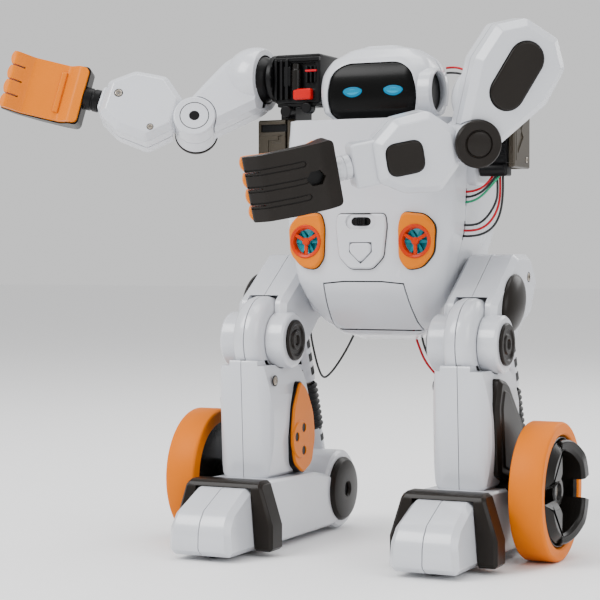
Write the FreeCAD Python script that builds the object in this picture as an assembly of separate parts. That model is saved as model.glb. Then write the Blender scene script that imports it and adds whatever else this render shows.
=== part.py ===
import FreeCAD, Part
import math
import os
from FreeCAD import Vector

# Two-legged robot kit on wheels. Millimetres, +Z up, the robot faces -Y, its left side is +X.
# The origin is the point on the floor midway between the two wheels.

# Driving dimensions
WHEEL_RADIUS = 39.5
WHEEL_INNER_X = 97.9
WHEEL_OUTER_X = 117.2
RIM_RADIUS = 31.5
LEG_X = 67.5
AXLE_RADIUS = 3.0
PIN_RADIUS = 4.0
RUNNING_CLEARANCE = 0.05
PART_GAP = 0.35
WALL = 2.4
HIP = (31.0, 150.5)
KNEE = (-10.5, 122.5)
HEEL = (63.0, 25.5)
STRUT_FOOT = (76.0, 32.0)
STRUT_TOP = (38.0, 137.0)
KNEE_DISC_RADIUS = 26.0
KNEE_BOSS_RADIUS = 16.5
HEEL_RADIUS = 24.5
SHELL_SPLIT_Y = 16.0
TORSO_TOP = 252.5
BACK_FACE_Y = 79.7
HEAD_AXIS_Y = 20.0
BALL_RADIUS = 16.0
SOCKET_RADIUS = 16.6
ELBOW_RADIUS = 13.0
WIRE_DIAMETER = 1.4
TRAVEL = 8.0

X_AXIS = Vector(1, 0, 0)
Y_AXIS = Vector(0, 1, 0)
Z_AXIS = Vector(0, 0, 1)

nodes = {}


def box(x_range, y_range, z_range):
    """A block between two limits along each axis."""
    size = [high - low for low, high in (x_range, y_range, z_range)]
    return Part.makeBox(*size, Vector(x_range[0], y_range[0], z_range[0]))


def rod(radius, start, end):
    """A round rod between two points."""
    start = Vector(*start)
    along = Vector(*end) - start
    return Part.makeCylinder(radius, along.Length, start, along)


def rod_x(radius, centre, x_start, x_end):
    """A round rod along X, its centre given as (y, z)."""
    return rod(radius, (x_start, *centre), (x_end, *centre))


def face_of(points):
    """A flat face inside a closed outline."""
    points = [Vector(*point) for point in points]
    return Part.Face(Part.makePolygon(points + points[:1]))


def prism_x(outline, x_start, x_end):
    """An outline of (y, z) points extruded along X."""
    return face_of([(x_start, y, z) for y, z in outline]).extrude(Vector(x_end - x_start, 0, 0))


def prism_y(outline, y_start, y_end):
    """An outline of (x, z) points extruded along Y."""
    return face_of([(x, y_start, z) for x, z in outline]).extrude(Vector(0, y_end - y_start, 0))


def prism_z(outline, z_start, z_end):
    """An outline of (x, y) points extruded along Z."""
    return face_of([(x, y, z_start) for x, y in outline]).extrude(Vector(0, 0, z_end - z_start))


def bevelled(solid, axis, size):
    """The solid with the edges of its two end faces across an axis chamfered."""
    ends = [face for face in solid.Faces if is_end(face, axis)]
    return solid.makeChamfer(size, [edge for face in ends for edge in face.Edges])


def is_end(face, axis):
    """Whether a face is flat and square to an axis."""
    return face.Surface.TypeId == "Part::GeomPlane" and abs(face.normalAt(0, 0).dot(axis)) > 0.999


def fused(*solids):
    """One solid from several that touch."""
    return solids[0].multiFuse(list(solids[1:])).removeSplitter()


def rounded_section(z, half_width, y_front, y_back, radius):
    """A level rounded rectangle, as a wire of four lines and four arcs."""
    radius = min(radius, 0.48 * half_width, 0.48 * (y_back - y_front))
    corners = [(1, y_front, -90), (1, y_back, 0), (-1, y_back, 90), (-1, y_front, 180)]
    edges = []
    ends = []
    for side, y, start in corners:
        inward = 1 if y == y_front else -1
        centre = Vector(side * (half_width - radius), y + inward * radius, z)
        arc = Part.makeCircle(radius, centre, Z_AXIS, start, start + 90)
        ends.append((arc.Vertexes[0].Point, arc.Vertexes[-1].Point))
        edges.append(arc)
    wire_edges = []
    for index, arc in enumerate(edges):
        wire_edges.append(arc)
        wire_edges.append(Part.makeLine(ends[index][1], ends[(index + 1) % 4][0]))
    return Part.Wire(wire_edges)


def lofted(sections, inset=0.0):
    """A solid through level rounded rectangles, optionally drawn in all round."""
    wires = []
    for z, half_width, y_front, y_back, radius in sections:
        wires.append(
            rounded_section(z, half_width - inset, y_front + inset, y_back - inset, radius)
        )
    return Part.makeLoft(wires, True, True)


def mirrored(solid):
    """The same solid on the other side of the robot."""
    return solid.mirror(Vector(0, 0, 0), X_AXIS)


def placed(solid, origin, x_direction, z_direction):
    """A solid moved from its own frame to a place on the robot."""
    x = Vector(*x_direction).normalize()
    z = Vector(*z_direction)
    z = (z - x * z.dot(x)).normalize()
    y = z.cross(x)
    matrix = FreeCAD.Matrix(
        x.x, y.x, z.x, origin[0], x.y, y.y, z.y, origin[1], x.z, y.z, z.z, origin[2], 0, 0, 0, 1
    )
    moved = solid.copy()
    moved.Placement = FreeCAD.Placement(matrix).multiply(solid.Placement)
    return moved


def keep(name, *solids):
    """Puts solids in a named node."""
    nodes[name] = solids[0] if len(solids) == 1 else Part.makeCompound(list(solids))


# ---------------------------------------------------------------- torso and head

TORSO_SECTIONS = [
    (122.5, 18.0, 24.0, 44.0, 8.0),
    (126.0, 27.0, 14.0, 54.0, 10.0),
    (134.0, 36.5, 4.5, 64.0, 13.0),
    (145.0, 43.0, -5.0, 71.5, 15.0),
    (158.0, 46.5, -12.5, 76.5, 15.0),
    (174.0, 49.2, -14.0, 79.0, 15.0),
    (188.0, 52.5, -14.0, 80.0, 15.0),
    (220.0, 53.8, -14.0, 80.0, 15.0),
    (TORSO_TOP, 52.0, -12.5, 78.0, 15.0),
]
HEAD_SECTIONS = [
    (254.0, 30.0, 3.0, 38.0, 12.0),
    (258.0, 34.5, 0.0, 41.0, 13.0),
    (268.0, 36.5, -1.5, 42.0, 14.0),
    (280.0, 35.5, -1.0, 42.0, 14.0),
    (289.0, 30.5, 3.0, 39.5, 13.0),
    (295.0, 21.0, 9.0, 34.0, 11.0),
    (297.5, 11.0, 14.0, 29.0, 7.0),
]
DOOR_OUTLINE = [(-25, 156), (25, 156), (27.5, 129), (-27.5, 129)]
DOOR_GAP_OUTLINE = [(-25.4, 156.4), (25.4, 156.4), (27.9, 128.6), (-27.9, 128.6)]
PANEL_OUTLINE = [(-15, 197), (15, 197), (16, 190), (14, 172), (7, 165), (-7, 165), (-14, 172), (-16, 190)]
BEZEL_OUTLINE = [(26, 198), (40, 196.5), (46, 190), (45, 174), (38, 166), (29, 164.5), (24, 171), (23.5, 190)]
LAMP_X = 34.5
LAMP_Z = 181.0
LAMP_RADIUS = 9.0
SLIDER_Z = 192.5
BUTTON_OUTLINE = [(-6.5, 180), (6.5, 180), (6.8, 175), (0, 168.5), (-6.8, 175)]
BUTTON_HOLE_OUTLINE = [(-6.9, 180.4), (6.9, 180.4), (7.2, 174.8), (0, 168), (-7.2, 174.8)]
NECK_RADIUS = 9.0
WIRE_SLOTS = [(182, 193), (202, 212)]


def torso_parts():
    """The two torso shells, the battery door, and the lamps and controls on the chest."""
    outside = lofted(TORSO_SECTIONS)
    inner_sections = [section for section in TORSO_SECTIONS if section[0] > 124]
    inner_sections[0] = (126.5, *inner_sections[0][1:])
    inner_sections[-1] = (TORSO_TOP - WALL, *inner_sections[-1][1:])
    inside = lofted(inner_sections, WALL)
    front_space = box((-80, 80), (-40, SHELL_SPLIT_Y), (100, 300))
    rear_space = box((-80, 80), (SHELL_SPLIT_Y, 120), (100, 300))
    skin = outside.cut(inside)
    neck_hole = rod(NECK_RADIUS + RUNNING_CLEARANCE, (0, HEAD_AXIS_Y, 240), (0, HEAD_AXIS_Y, 260))
    skin = skin.cut(neck_hole)
    for low, high in WIRE_SLOTS:
        skin = skin.cut(box((46, 60), (SHELL_SPLIT_Y - 1.2, SHELL_SPLIT_Y + 1.2), (low, high)))

    front = skin.common(front_space)
    door = front.common(prism_y(DOOR_OUTLINE, -30, SHELL_SPLIT_Y - 1))
    front = front.cut(prism_y(DOOR_GAP_OUTLINE, -30, SHELL_SPLIT_Y - 1))
    panel = bevelled(prism_y(PANEL_OUTLINE, -16.0, -12.4), Y_AXIS, 0.6)
    front = fused(front, panel)
    slider_slot = box((-8, 8), (-20, -8), (SLIDER_Z - 2.4, SLIDER_Z + 2.4))
    button_hole = prism_y(BUTTON_HOLE_OUTLINE, -20, -8)
    front = front.cut(slider_slot).cut(button_hole)
    lamp_centres = [(side * LAMP_X, LAMP_Z) for side in (-1, 1)]
    for x, z in lamp_centres:
        front = front.cut(rod(LAMP_RADIUS, (x, -20, z), (x, -8, z)))
    keep("torso_front_shell", front)
    keep("battery_door", door)

    rear = skin.common(rear_space).cut(box((-80, 80), (BACK_FACE_Y, 100), (180, 230)))
    for side in (-1, 1):
        yoke = box(sorted((side * 46.0, side * 60.0)), (17, 50), (214, 255.5))
        yoke = bevelled(yoke, X_AXIS, 0.8).cut(inside)
        hub = rod_x(13.0, HIP, side * 36.0, side * 49.6)
        bore = rod_x(9.0 + RUNNING_CLEARANCE, HIP, side * 30.0, side * 60.0)
        rear = fused(rear, yoke, hub).cut(bore)
    keep("torso_rear_shell", rear)

    bezels = []
    for side in (-1, 1):
        outline = [(side * x, z) for x, z in BEZEL_OUTLINE]
        bezel = bevelled(prism_y(outline, -17.5, -13.0), Y_AXIS, 0.7)
        hole = rod(LAMP_RADIUS, (side * LAMP_X, -20, LAMP_Z), (side * LAMP_X, -8, LAMP_Z))
        bezels.append(bezel.cut(hole).cut(outside))
    keep("lamp_bezels", *bezels)
    keep("lamp_reflectors", *[rod(LAMP_RADIUS, (x, -14.6, z), (x, -11.6, z)) for x, z in lamp_centres])

    slider = fused(
        box((-3.0, 3.0), (-17.0, -13.0), (SLIDER_Z - 1.9, SLIDER_Z + 1.9)),
        box((-4.5, 4.5), (-13.0, -11.5), (SLIDER_Z - 2.1, SLIDER_Z + 2.1)),
    )
    keep("mode_slider", slider)
    keep("action_button", prism_y(BUTTON_OUTLINE, -17.2, -10.5))


def head_parts():
    """The head shell with its neck and left ear ring, and the visor across its front."""
    shell = lofted(HEAD_SECTIONS)
    hollow = [section for section in HEAD_SECTIONS if section[0] < 290]
    hollow[0] = (256.5, *hollow[0][1:])
    shell = shell.cut(lofted(hollow, WALL))
    neck = rod(NECK_RADIUS, (0, HEAD_AXIS_Y, 246), (0, HEAD_AXIS_Y, 256.5))
    shell = fused(shell, neck)
    ear = rod_x(14.0, (11.0, 268.5), 32.0, 38.5)
    recess = rod_x(11.5, (11.0, 268.5), 36.0, 40.0)
    inner = lofted(HEAD_SECTIONS, WALL).common(box((-36, 36), (-20, 60), (256.5, 290)))
    shell = fused(shell, ear.cut(inner)).cut(recess)
    window = prism_y([(-26.5, 255), (26.5, 255), (29, 268), (25, 282), (17, 286.5), (-17, 286.5),
                      (-25, 282), (-29, 268)], -10, 9)
    visor = lofted(HEAD_SECTIONS, 0.5).common(window).cut(lofted(HEAD_SECTIONS, 2.6))
    keep("head_shell", shell.cut(window))
    keep("visor", visor)


# ---------------------------------------------------------------- legs

THIGH_OUTLINE = [(26, 173.5), (51, 173.5), (64, 157.5), (52, 137), (36, 131), (14, 113), (-16, 128), (-13, 146)]
SHIN_OUTLINE = [(-37, 112), (-33, 40), (25, 40), (27, 90), (20, 104), (8, 112)]
FOOT_OUTLINE = [(-44, 4), (-44, 42), (24, 40), (46, 36), (58, 6), (52, 4)]
TOE_OUTLINE = [(-88, 3), (-90, 8), (-89.5, 20), (-83, 28.5), (-62, 38.5), (-50, 40), (-50, 3)]
TOE_FACE = [(47, 2), (88, 2), (84.5, 45), (50.5, 45)]
TRIM_OUTLINE = [(-60, 3), (-60, 40), (-57, 43), (-44, 43), (-44, 3)]
TRIM_FACE = [(36, 2), (99, 2), (99, 18), (90.5, 45), (44.5, 45), (36, 18)]
INSET_OUTLINE = [(4, 97.5), (13, 92), (22, 78), (25, 62), (20, 46), (8, 41), (-4, 48), (-8, 64), (-5, 82)]
PANEL_SIDE_OUTLINE = [(-20, 104), (-6, 101), (20, 76), (19, 62), (-5, 44), (-21, 49), (-26, 88)]
THIGH_X = (50.0, 82.0)
DISC_X = (57.0, 75.0)
SHIN_X = (50.0, 85.0)
STRUT_START = 12.0


def strut_point(distance):
    """The (y, z) point at a distance up the strut from its lower end."""
    along = (STRUT_TOP[0] - STRUT_FOOT[0], STRUT_TOP[1] - STRUT_FOOT[1])
    length = math.hypot(*along)
    return (STRUT_FOOT[0] + along[0] / length * distance, STRUT_FOOT[1] + along[1] / length * distance)


def strut_rod(radius, low, high):
    """A round length of the strut between two distances from its lower end."""
    return rod(radius, (LEG_X, *strut_point(low)), (LEG_X, *strut_point(high)))


def thigh():
    """The thigh shell, forked over the knee disc, with its hip boss and knee pin."""
    shell = bevelled(prism_x(THIGH_OUTLINE, *THIGH_X), X_AXIS, 3.0)
    cheeks = rod_x(KNEE_BOSS_RADIUS, KNEE, 45.0, 87.0)
    disc_space = rod_x(KNEE_DISC_RADIUS + 0.6, KNEE, DISC_X[0] - 0.5, DISC_X[1] + 0.5)
    shell = fused(shell, cheeks).cut(disc_space)
    pocket = rod_x(8.5, STRUT_TOP, LEG_X - 6.5, LEG_X + 6.5)
    for angle in (-TRAVEL - 2, 0, TRAVEL + 2):
        leg_opening = strut_rod(7.6, 75.0, 108.0)
        leg_opening.rotate(Vector(LEG_X, *STRUT_TOP), X_AXIS, angle)
        pocket = pocket.fuse(leg_opening)
    shell = shell.cut(pocket)
    hip_boss = rod_x(9.0, HIP, 40.0, 51.0)
    pin = rod_x(PIN_RADIUS, KNEE, 46.0, 86.0)
    strut_pin = rod_x(2.5, STRUT_TOP, LEG_X - 8.0, LEG_X + 8.0)
    return fused(shell, hip_boss, pin, strut_pin)


def thigh_caps():
    """The domed oval cap on the thigh's outer face and the two ring caps of the knee."""
    dome = Part.makeSphere(1.0)
    stretch = FreeCAD.Matrix()
    stretch.scale(7.0, 20.0, 15.0)
    dome = dome.transformGeometry(stretch)
    dome.rotate(Vector(0, 0, 0), X_AXIS, 40)
    dome.translate(Vector(THIGH_X[1], 15.0, 145.0))
    dome = dome.common(box((THIGH_X[1], 95), (-20, 60), (110, 180)))
    dome = dome.cut(rod_x(KNEE_BOSS_RADIUS + PART_GAP, KNEE, 80.0, 90.0))
    caps = [dome]
    for low, high in ((43.0, 45.0), (87.0, 89.0)):
        caps.append(rod_x(12.0, KNEE, low, high).cut(rod_x(4.0, KNEE, low - 1, high + 1)))
    return caps


def shin():
    """The shin shell with the knee disc on top."""
    body = bevelled(prism_x(SHIN_OUTLINE, *SHIN_X), X_AXIS, 5.0)
    boss_space = rod_x(KNEE_BOSS_RADIUS + 0.6, KNEE, 40, 95)
    cheek_space = box((40, DISC_X[0]), (-40, 60), (108, 140))
    outer_space = box((DISC_X[1], 95), (-40, 60), (108, 140))
    body = body.cut(boss_space).cut(cheek_space).cut(outer_space)
    disc = rod_x(KNEE_DISC_RADIUS, KNEE, *DISC_X)
    body = fused(body, disc)
    return body.cut(rod_x(PIN_RADIUS + RUNNING_CLEARANCE, KNEE, 40, 95))


def wheel():
    """The tyre, and the hub with three raised vanes and the axle bore."""
    centre = (0.0, WHEEL_RADIUS)
    tyre = rod_x(WHEEL_RADIUS, centre, WHEEL_INNER_X, WHEEL_OUTER_X)
    rims = [edge for edge in tyre.Edges if edge.Curve.TypeId == "Part::GeomCircle"]
    tyre = tyre.makeFillet(2.0, rims).cut(rod_x(RIM_RADIUS, centre, 90, 130))
    hub = rod_x(RIM_RADIUS, centre, WHEEL_INNER_X + 1.5, WHEEL_OUTER_X - 5.0)
    hub = fused(hub, rod_x(9.0, centre, 100, WHEEL_OUTER_X + 3.0))
    for turn in range(3):
        vane = prism_x([(5, -5), (30, -9), (30, 9), (5, 5)], WHEEL_OUTER_X - 6.0, WHEEL_OUTER_X + 7.0)
        vane = bevelled(vane, X_AXIS, 2.0)
        vane.rotate(Vector(0, 0, 0), X_AXIS, 90 + 120 * turn)
        vane.translate(Vector(0, *centre))
        hub = hub.fuse(vane)
    hub = hub.removeSplitter().common(rod_x(RIM_RADIUS, centre, 90, 130))
    return tyre, hub.cut(rod_x(AXLE_RADIUS + RUNNING_CLEARANCE, centre, 90, 116))


def foot():
    """The foot body with the heel drum and the wheel axle."""
    body = bevelled(prism_x(FOOT_OUTLINE, 46.0, 88.0), X_AXIS, 1.5)
    drum = rod_x(HEEL_RADIUS, HEEL, 47.0, 88.0)
    axle = rod_x(AXLE_RADIUS, (0.0, WHEEL_RADIUS), 80.0, 114.0)
    boss = rod_x(9.0, (0.0, WHEEL_RADIUS), 80.0, 97.4)
    body = fused(body, drum, boss, axle)
    strut_slot = strut_rod(5.5, STRUT_START, 60.0)
    return body.cut(strut_slot)


def toe_parts():
    """The toe cap and the frame that wraps it."""
    cap = prism_x(TOE_OUTLINE, 30, 105).common(prism_y(TOE_FACE, -95, -40))
    cap_space = prism_x(TOE_OUTLINE, 30, 105).common(prism_y(TOE_FACE, -95, -40))
    trim = prism_x(TRIM_OUTLINE, 30, 105).common(prism_y(TRIM_FACE, -95, -40)).cut(cap_space)
    return cap, trim.common(box((30, 105), (-100, 0), (3.2, 60)))


def leg_parts(side, place):
    """Every node of one leg."""
    def put(name, *solids):
        keep(side + "_" + name, *[place(solid) for solid in solids])

    lower = strut_rod(5.5, STRUT_START, 50.0).cut(strut_rod(4.0, 30.0, 60.0))
    spring = strut_rod(6.2, 34.0, 64.0).cut(strut_rod(5.6, 30.0, 70.0))
    eye = rod_x(7.0, STRUT_TOP, LEG_X - 5.0, LEG_X + 5.0)
    upper = fused(eye, strut_rod(6.0, 66.0, 105.0), strut_rod(3.1, 40.0, 70.0))
    upper = upper.cut(rod_x(2.5 + RUNNING_CLEARANCE, STRUT_TOP, 50, 90))
    foot_solid = foot()
    put("thigh_shell", thigh())
    put("thigh_caps", *thigh_caps())
    put("shin_shell", shin().cut(foot_solid))
    put("shin_inner_panel", bevelled(prism_x(INSET_OUTLINE, 47.4, SHIN_X[0]), X_AXIS, 0.5))
    outer_panel = bevelled(prism_x(PANEL_SIDE_OUTLINE, SHIN_X[1], 88.0), X_AXIS, 0.8)
    put("shin_outer_panel", outer_panel.cut(foot_solid))
    put("strut_upper", upper)
    put("strut_spring", spring)
    put("strut_lower", lower)
    put("foot_body", foot_solid)
    cap, trim = toe_parts()
    put("toe_cap", cap)
    put("toe_trim", trim)
    inner_cap = bevelled(rod_x(20.0, HEEL, 42.5, 47.0), X_AXIS, 1.2).cut(foot_solid)
    put("heel_caps", inner_cap, rod_x(20.0, HEEL, 88.0, 90.0))
    ball = Part.makeSphere(4.0, Vector(LEG_X, -72.0, 4.0)).cut(cap).cut(trim)
    glide = rod(7.0, (LEG_X, HEEL[0], 0.0), (LEG_X, HEEL[0], 8.0)).cut(rod_x(HEEL_RADIUS, HEEL, 40, 95))
    put("foot_glides", ball, glide)
    tyre, hub = wheel()
    put("tyre", tyre)
    put("wheel_hub", hub)


# ---------------------------------------------------------------- arms

RIGHT_ARM = {
    "ball": (-88.0, 25.0, 281.5),
    "ball_axis": (1, 0, 0),
    "elbow": (-117.0, -1.0, 253.5),
    "upper_end": (-88.0, 25.0, 281.5),
    "wrist": (-175.0, -22.0, 268.5),
    "hand_direction": (-27.0, -10.0, 7.0),
    "palm_direction": (0.36, -0.92, 0.15),
}
LEFT_ARM = {
    "ball": (73.0, -3.0, 262.0),
    "ball_axis": (0, 1, 0),
    "elbow": (69.0, -21.0, 236.5),
    "upper_end": (90.0, -11.0, 276.0),
    "wrist": (12.0, -65.0, 221.5),
    "hand_direction": (-23.0, -19.0, -7.0),
    "palm_direction": (-0.5, 0.85, 0.2),
}
UPPER_OUTLINES = {
    "left": [(0, -11), (14, -16), (40, -25), (62, -24), (74, -11), (74, 11), (62, 24), (40, 25), (14, 16), (0, 11)],
    "right": [(0, -11), (14, -14), (40, -19), (52, -16), (52, 16), (40, 19), (14, 14), (0, 11)],
}
FOREARM_OUTLINE = [(10, -10), (24, -23), (44, -22), (58, -11), (58, 11), (44, 20), (24, 23), (10, 10)]
HAND_BACK = [(5, 4), (5, -9), (16, -13), (34, -13), (50, -9), (57, -2), (57, 1), (46, -5), (20, -5), (12, 4)]
HAND_PALM = [(12, 4), (20, -5), (46, -5), (57, 1), (59, 4), (54, 6), (44, -1), (21, -1), (14, 7), (5, 7), (5, 4)]


def upper_direction(arm):
    """The line of the upper arm, from the elbow towards the shoulder."""
    return Vector(*arm["upper_end"]) - Vector(*arm["elbow"])


def forearm_direction(arm):
    """The line of the forearm, from the elbow towards the wrist."""
    return Vector(*arm["wrist"]) - Vector(*arm["elbow"])


def elbow_axis(arm):
    """The elbow's axis, square to both halves of the arm and pointing forwards."""
    axis = upper_direction(arm).cross(forearm_direction(arm)).normalize()
    return axis if axis.y < 0 else -axis


def upper_arm(side, arm):
    """The upper arm shell: a flat body, a socket over the shoulder ball, and the elbow lug."""
    ball = Vector(*arm["ball"])
    body = prism_z(UPPER_OUTLINES[side], -12.0, 12.0)
    body = bevelled(body, Z_AXIS, 4.0)
    body = body.cut(Part.makeCylinder(ELBOW_RADIUS + 0.5, 30, Vector(0, 0, -PART_GAP / 2), Z_AXIS))
    lug = Part.makeCylinder(ELBOW_RADIUS, 12.8, Vector(0, 0, -13.0), Z_AXIS)
    pin = Part.makeCylinder(AXLE_RADIUS, 24.0, Vector(0, 0, -12.0), Z_AXIS)
    arm_body = placed(fused(body, lug, pin), arm["elbow"], upper_direction(arm), elbow_axis(arm))
    axis = Vector(*arm["ball_axis"])
    socket = Part.makeSphere(BALL_RADIUS + 4.5, ball, axis)
    shell = fused(arm_body, socket).cut(Part.makeSphere(SOCKET_RADIUS, ball, axis))
    mouth = Part.makeCylinder(60, 60, ball + axis * 7.0, axis)
    shell = shell.cut(mouth)
    return shell.cut(Part.makeCylinder(14.6, 30, ball, axis))


def upper_arm_trim(side, arm):
    """The long oval inset of the upper arm and the round cap over the elbow."""
    cap = Part.makeCylinder(13.5, 2.5, Vector(0, 0, -15.5), Z_AXIS)
    if side == "left":
        cap = Part.makeCylinder(13.5, 3.0, Vector(0, 0, 13.3), Z_AXIS)
        cap = fused(cap, Part.makeCylinder(AXLE_RADIUS, 2.0, Vector(0, 0, 12.0), Z_AXIS))
    oval = Part.makeCylinder(10.0, 1.4, Vector(33, 0, 12.0), Z_AXIS)
    oval = fused(oval, box((33, 57), (-10, 10), (12.0, 13.4)), Part.makeCylinder(10.0, 1.4, Vector(57, 0, 12.0), Z_AXIS))
    pieces = [cap, oval] if side == "left" else [cap]
    return [placed(piece, arm["elbow"], upper_direction(arm), elbow_axis(arm)) for piece in pieces]


def forearm(arm):
    """The forearm shell with the elbow lug and the wrist spigot."""
    length = forearm_direction(arm).Length
    body = bevelled(prism_z(FOREARM_OUTLINE, -11.0, 12.5), Z_AXIS, 4.0)
    body = body.cut(Part.makeCylinder(ELBOW_RADIUS + 2.8, 30, Vector(0, 0, -30 + PART_GAP / 2), Z_AXIS))
    lug = Part.makeCylinder(ELBOW_RADIUS, 12.5, Vector(0, 0, PART_GAP / 2), Z_AXIS)
    spigot = rod(5.5, (50, 0, 0), (length - 3.0, 0, 0))
    bore = Part.makeCylinder(AXLE_RADIUS + RUNNING_CLEARANCE, 30, Vector(0, 0, -5), Z_AXIS)
    return fused(body, lug, spigot).cut(bore)


def hand(arm):
    """The hand's dark back shell with its wrist collar, and the palm layer inside it."""
    collar = rod(7.0, (-2.6, 0, 0), (7.0, 0, 0))
    back = face_of([(x, -18.5, z) for x, z in HAND_BACK]).extrude(Vector(0, 37, 0))
    palm = face_of([(x, -17.0, z) for x, z in HAND_PALM]).extrude(Vector(0, 34, 0))
    palm = palm.cut(collar)
    key = prism_z([(18 + 5 * math.cos(a), 5 * math.sin(a)) for a in
                   [math.radians(60 * turn) for turn in range(6)]], -20, -5)
    return fused(back, collar).cut(key), palm


def arm_parts(side, arm):
    """Every node of one arm from the shoulder ball outwards."""
    ball = Vector(*arm["ball"])
    axis = Vector(*arm["ball_axis"])
    sphere = Part.makeSphere(BALL_RADIUS, ball, axis)
    neck = Part.makeCylinder(6.0, 18.2, ball, axis)
    flange = Part.makeCylinder(15.0, 3.0, ball + axis * 13.6, axis)
    keep(side + "_shoulder_ball", fused(sphere, neck, flange))
    keep(side + "_upper_arm_shell", upper_arm(side, arm))
    keep(side + "_upper_arm_trim", *upper_arm_trim(side, arm))
    along = forearm_direction(arm)
    keep(side + "_forearm_shell", placed(forearm(arm), arm["elbow"], along, elbow_axis(arm)))
    inset_z = 12.5 if side == "left" else -12.4
    inset = bevelled(box((28, 47), (-10.5, 10.5), (inset_z, inset_z + 1.4)), Z_AXIS, 0.4)
    keep(side + "_forearm_trim", placed(inset, arm["elbow"], along, elbow_axis(arm)))
    back, palm = hand(arm)
    keep(side + "_hand_shell", placed(back, arm["wrist"], arm["hand_direction"], arm["palm_direction"]))
    keep(side + "_palm", placed(palm, arm["wrist"], arm["hand_direction"], arm["palm_direction"]))


def shoulder_parts():
    """The bracket and the gearbox that hold each shoulder ball."""
    bracket = bevelled(box((-85, -60.2), (21, 49), (207.5, 256.4)), Z_AXIS, 0.8)
    bracket = bracket.cut(box((-80, -65), (15, 30), (235, 250)))
    keep("right_shoulder_bracket", fused(bracket, box((-70, -60.2), (23, 47), (256, 265.5))))
    gearbox = bevelled(box((-71, -41), (17, 54), (265.5, 295.5)), Z_AXIS, 0.8)
    socket = rod(6.0 + RUNNING_CLEARANCE, (-80, 25, 281.5), (-68, 25, 281.5))
    keep("right_shoulder_gearbox", gearbox.cut(socket))

    gearbox = bevelled(box((60.2, 79), (14, 42), (226, 270.5)), Z_AXIS, 0.8)
    gearbox = fused(gearbox, rod(4.0, (60.2, 20, 222.5), (77.5, 20, 222.5)))
    socket = rod(6.0 + RUNNING_CLEARANCE, (LEFT_ARM["ball"][0], 10, 262), (LEFT_ARM["ball"][0], 17, 262))
    keep("left_shoulder_gearbox", gearbox.cut(socket))
    bracket = fused(box((79, 82.5), (17, 46), (224, 264)), box((60.2, 82.5), (42, 46), (224, 264)))
    keep("left_shoulder_bracket", bracket)


# ---------------------------------------------------------------- wires


def wire(points, diameter=WIRE_DIAMETER):
    """A tube along straight runs joined by tangent arcs."""
    points = [Vector(*point) for point in points]
    edges = []
    radii = []
    start = points[0]
    for before, corner, after in zip(points, points[1:], points[2:]):
        inward = (before - corner).normalize()
        outward = (after - corner).normalize()
        turn = math.pi - inward.getAngle(outward)
        reach = 0.45 * min((before - corner).Length, (after - corner).Length)
        radius = reach / math.tan(turn / 2)
        radii.append(radius)
        first = corner + inward * reach
        last = corner + outward * reach
        bisector = (inward + outward).normalize()
        centre = corner + bisector * (reach / math.sin(turn / 2))
        middle = centre - bisector * radius
        edges.append(Part.makeLine(start, first))
        edges.append(Part.Arc(first, middle, last).toShape())
        start = last
    edges.append(Part.makeLine(start, points[-1]))
    path = Part.Wire(edges)
    profile = Part.Wire(Part.makeCircle(diameter / 2, points[0], points[1] - points[0]))
    tube = path.makePipeShell([profile], True, False)
    expected = math.pi * diameter**2 / 4 * path.Length
    print("wire", round(path.Length, 1), "mm, radii", [round(r, 1) for r in radii],
          "volume ratio", round(tube.Volume / expected, 3))
    return tube


RIGHT_LEG_WIRE = [
    (-24, 34, 128), (-28.5, 35.5, 120), (-37, 40, 109), (-47, 47, 99.5), (-56, 55, 95), (-62, 60, 102),
    (-64, 58, 113), (-63, 51, 124), (-62, 47, 134.5),
]
LEFT_LEG_RED_WIRE = [
    (15, 30, 128), (17, 32, 120), (20, 37, 108), (28, 44, 97), (40, 50, 91), (52, 57, 92), (60, 61, 101),
    (63, 58, 113), (62, 51, 124), (61, 47, 134.5),
]
LEFT_LEG_BLACK_WIRE = [
    (19, 32, 128), (19.5, 34, 119), (24, 39, 107), (32, 47, 97), (43, 54, 94), (53, 61, 97), (58.5, 63, 107),
    (60, 58, 117), (59, 52, 126), (58.5, 48, 134.9),
]
HEAD_WIRES = [
    [(33.6, 35, 284.8), (38, 37, 285.5), (45, 35, 283.5), (52, 30, 279), (59, 24, 274.5), (66, 21, 268)],
    [(34.6, 33, 281.6), (38, 35, 282.0), (45, 32.5, 280.5), (52, 27, 277), (60, 23, 273.5), (64, 18.5, 268)],
]


def shoulder_wires():
    """Three leads from the upper slot and three from the lower one, up to the shoulder connector."""
    tubes = []
    for index, z in enumerate((210.0, 207.0, 204.0)):
        end_x = 69.0 + 2.0 * index
        tubes.append(wire([
            (42.5, 16, z), (50, 16, z), (58, 14.8, z), (66, 15, z + 0.35 * (218.5 - z)), (end_x, 18.6, 219.2),
        ]))
    for index, z in enumerate((190.6, 187.4, 184.2)):
        out = 1.6 * index
        tubes.append(wire([
            (51, 16, z), (59, 14.8, z - 0.5), (65.5 + out, 15.5, z + 3), (70.5 + out, 17.5, z + 11),
            (71.8 + out, 20, 209), (70.5 + 1.8 * index, 21.6, 219.2),
        ]))
    return tubes


def main():
    os.makedirs("parts", exist_ok=True)
    torso_parts()
    head_parts()
    leg_parts("left", lambda solid: solid)
    leg_parts("right", mirrored)
    arm_parts("left", LEFT_ARM)
    arm_parts("right", RIGHT_ARM)
    shoulder_parts()
    keep("shoulder_wires", *shoulder_wires())
    keep("leg_wires", *[wire(route) for route in (RIGHT_LEG_WIRE, LEFT_LEG_RED_WIRE, LEFT_LEG_BLACK_WIRE)])
    keep("head_wires", *[wire(route) for route in HEAD_WIRES])
    for name, shape in nodes.items():
        shape.exportStep(os.path.join("parts", name + ".step"))
        print(name, len(shape.Solids), shape.isValid(), round(shape.Volume))


main()
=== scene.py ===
import math

import bmesh
import bpy
from mathutils import Matrix, Vector


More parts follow.
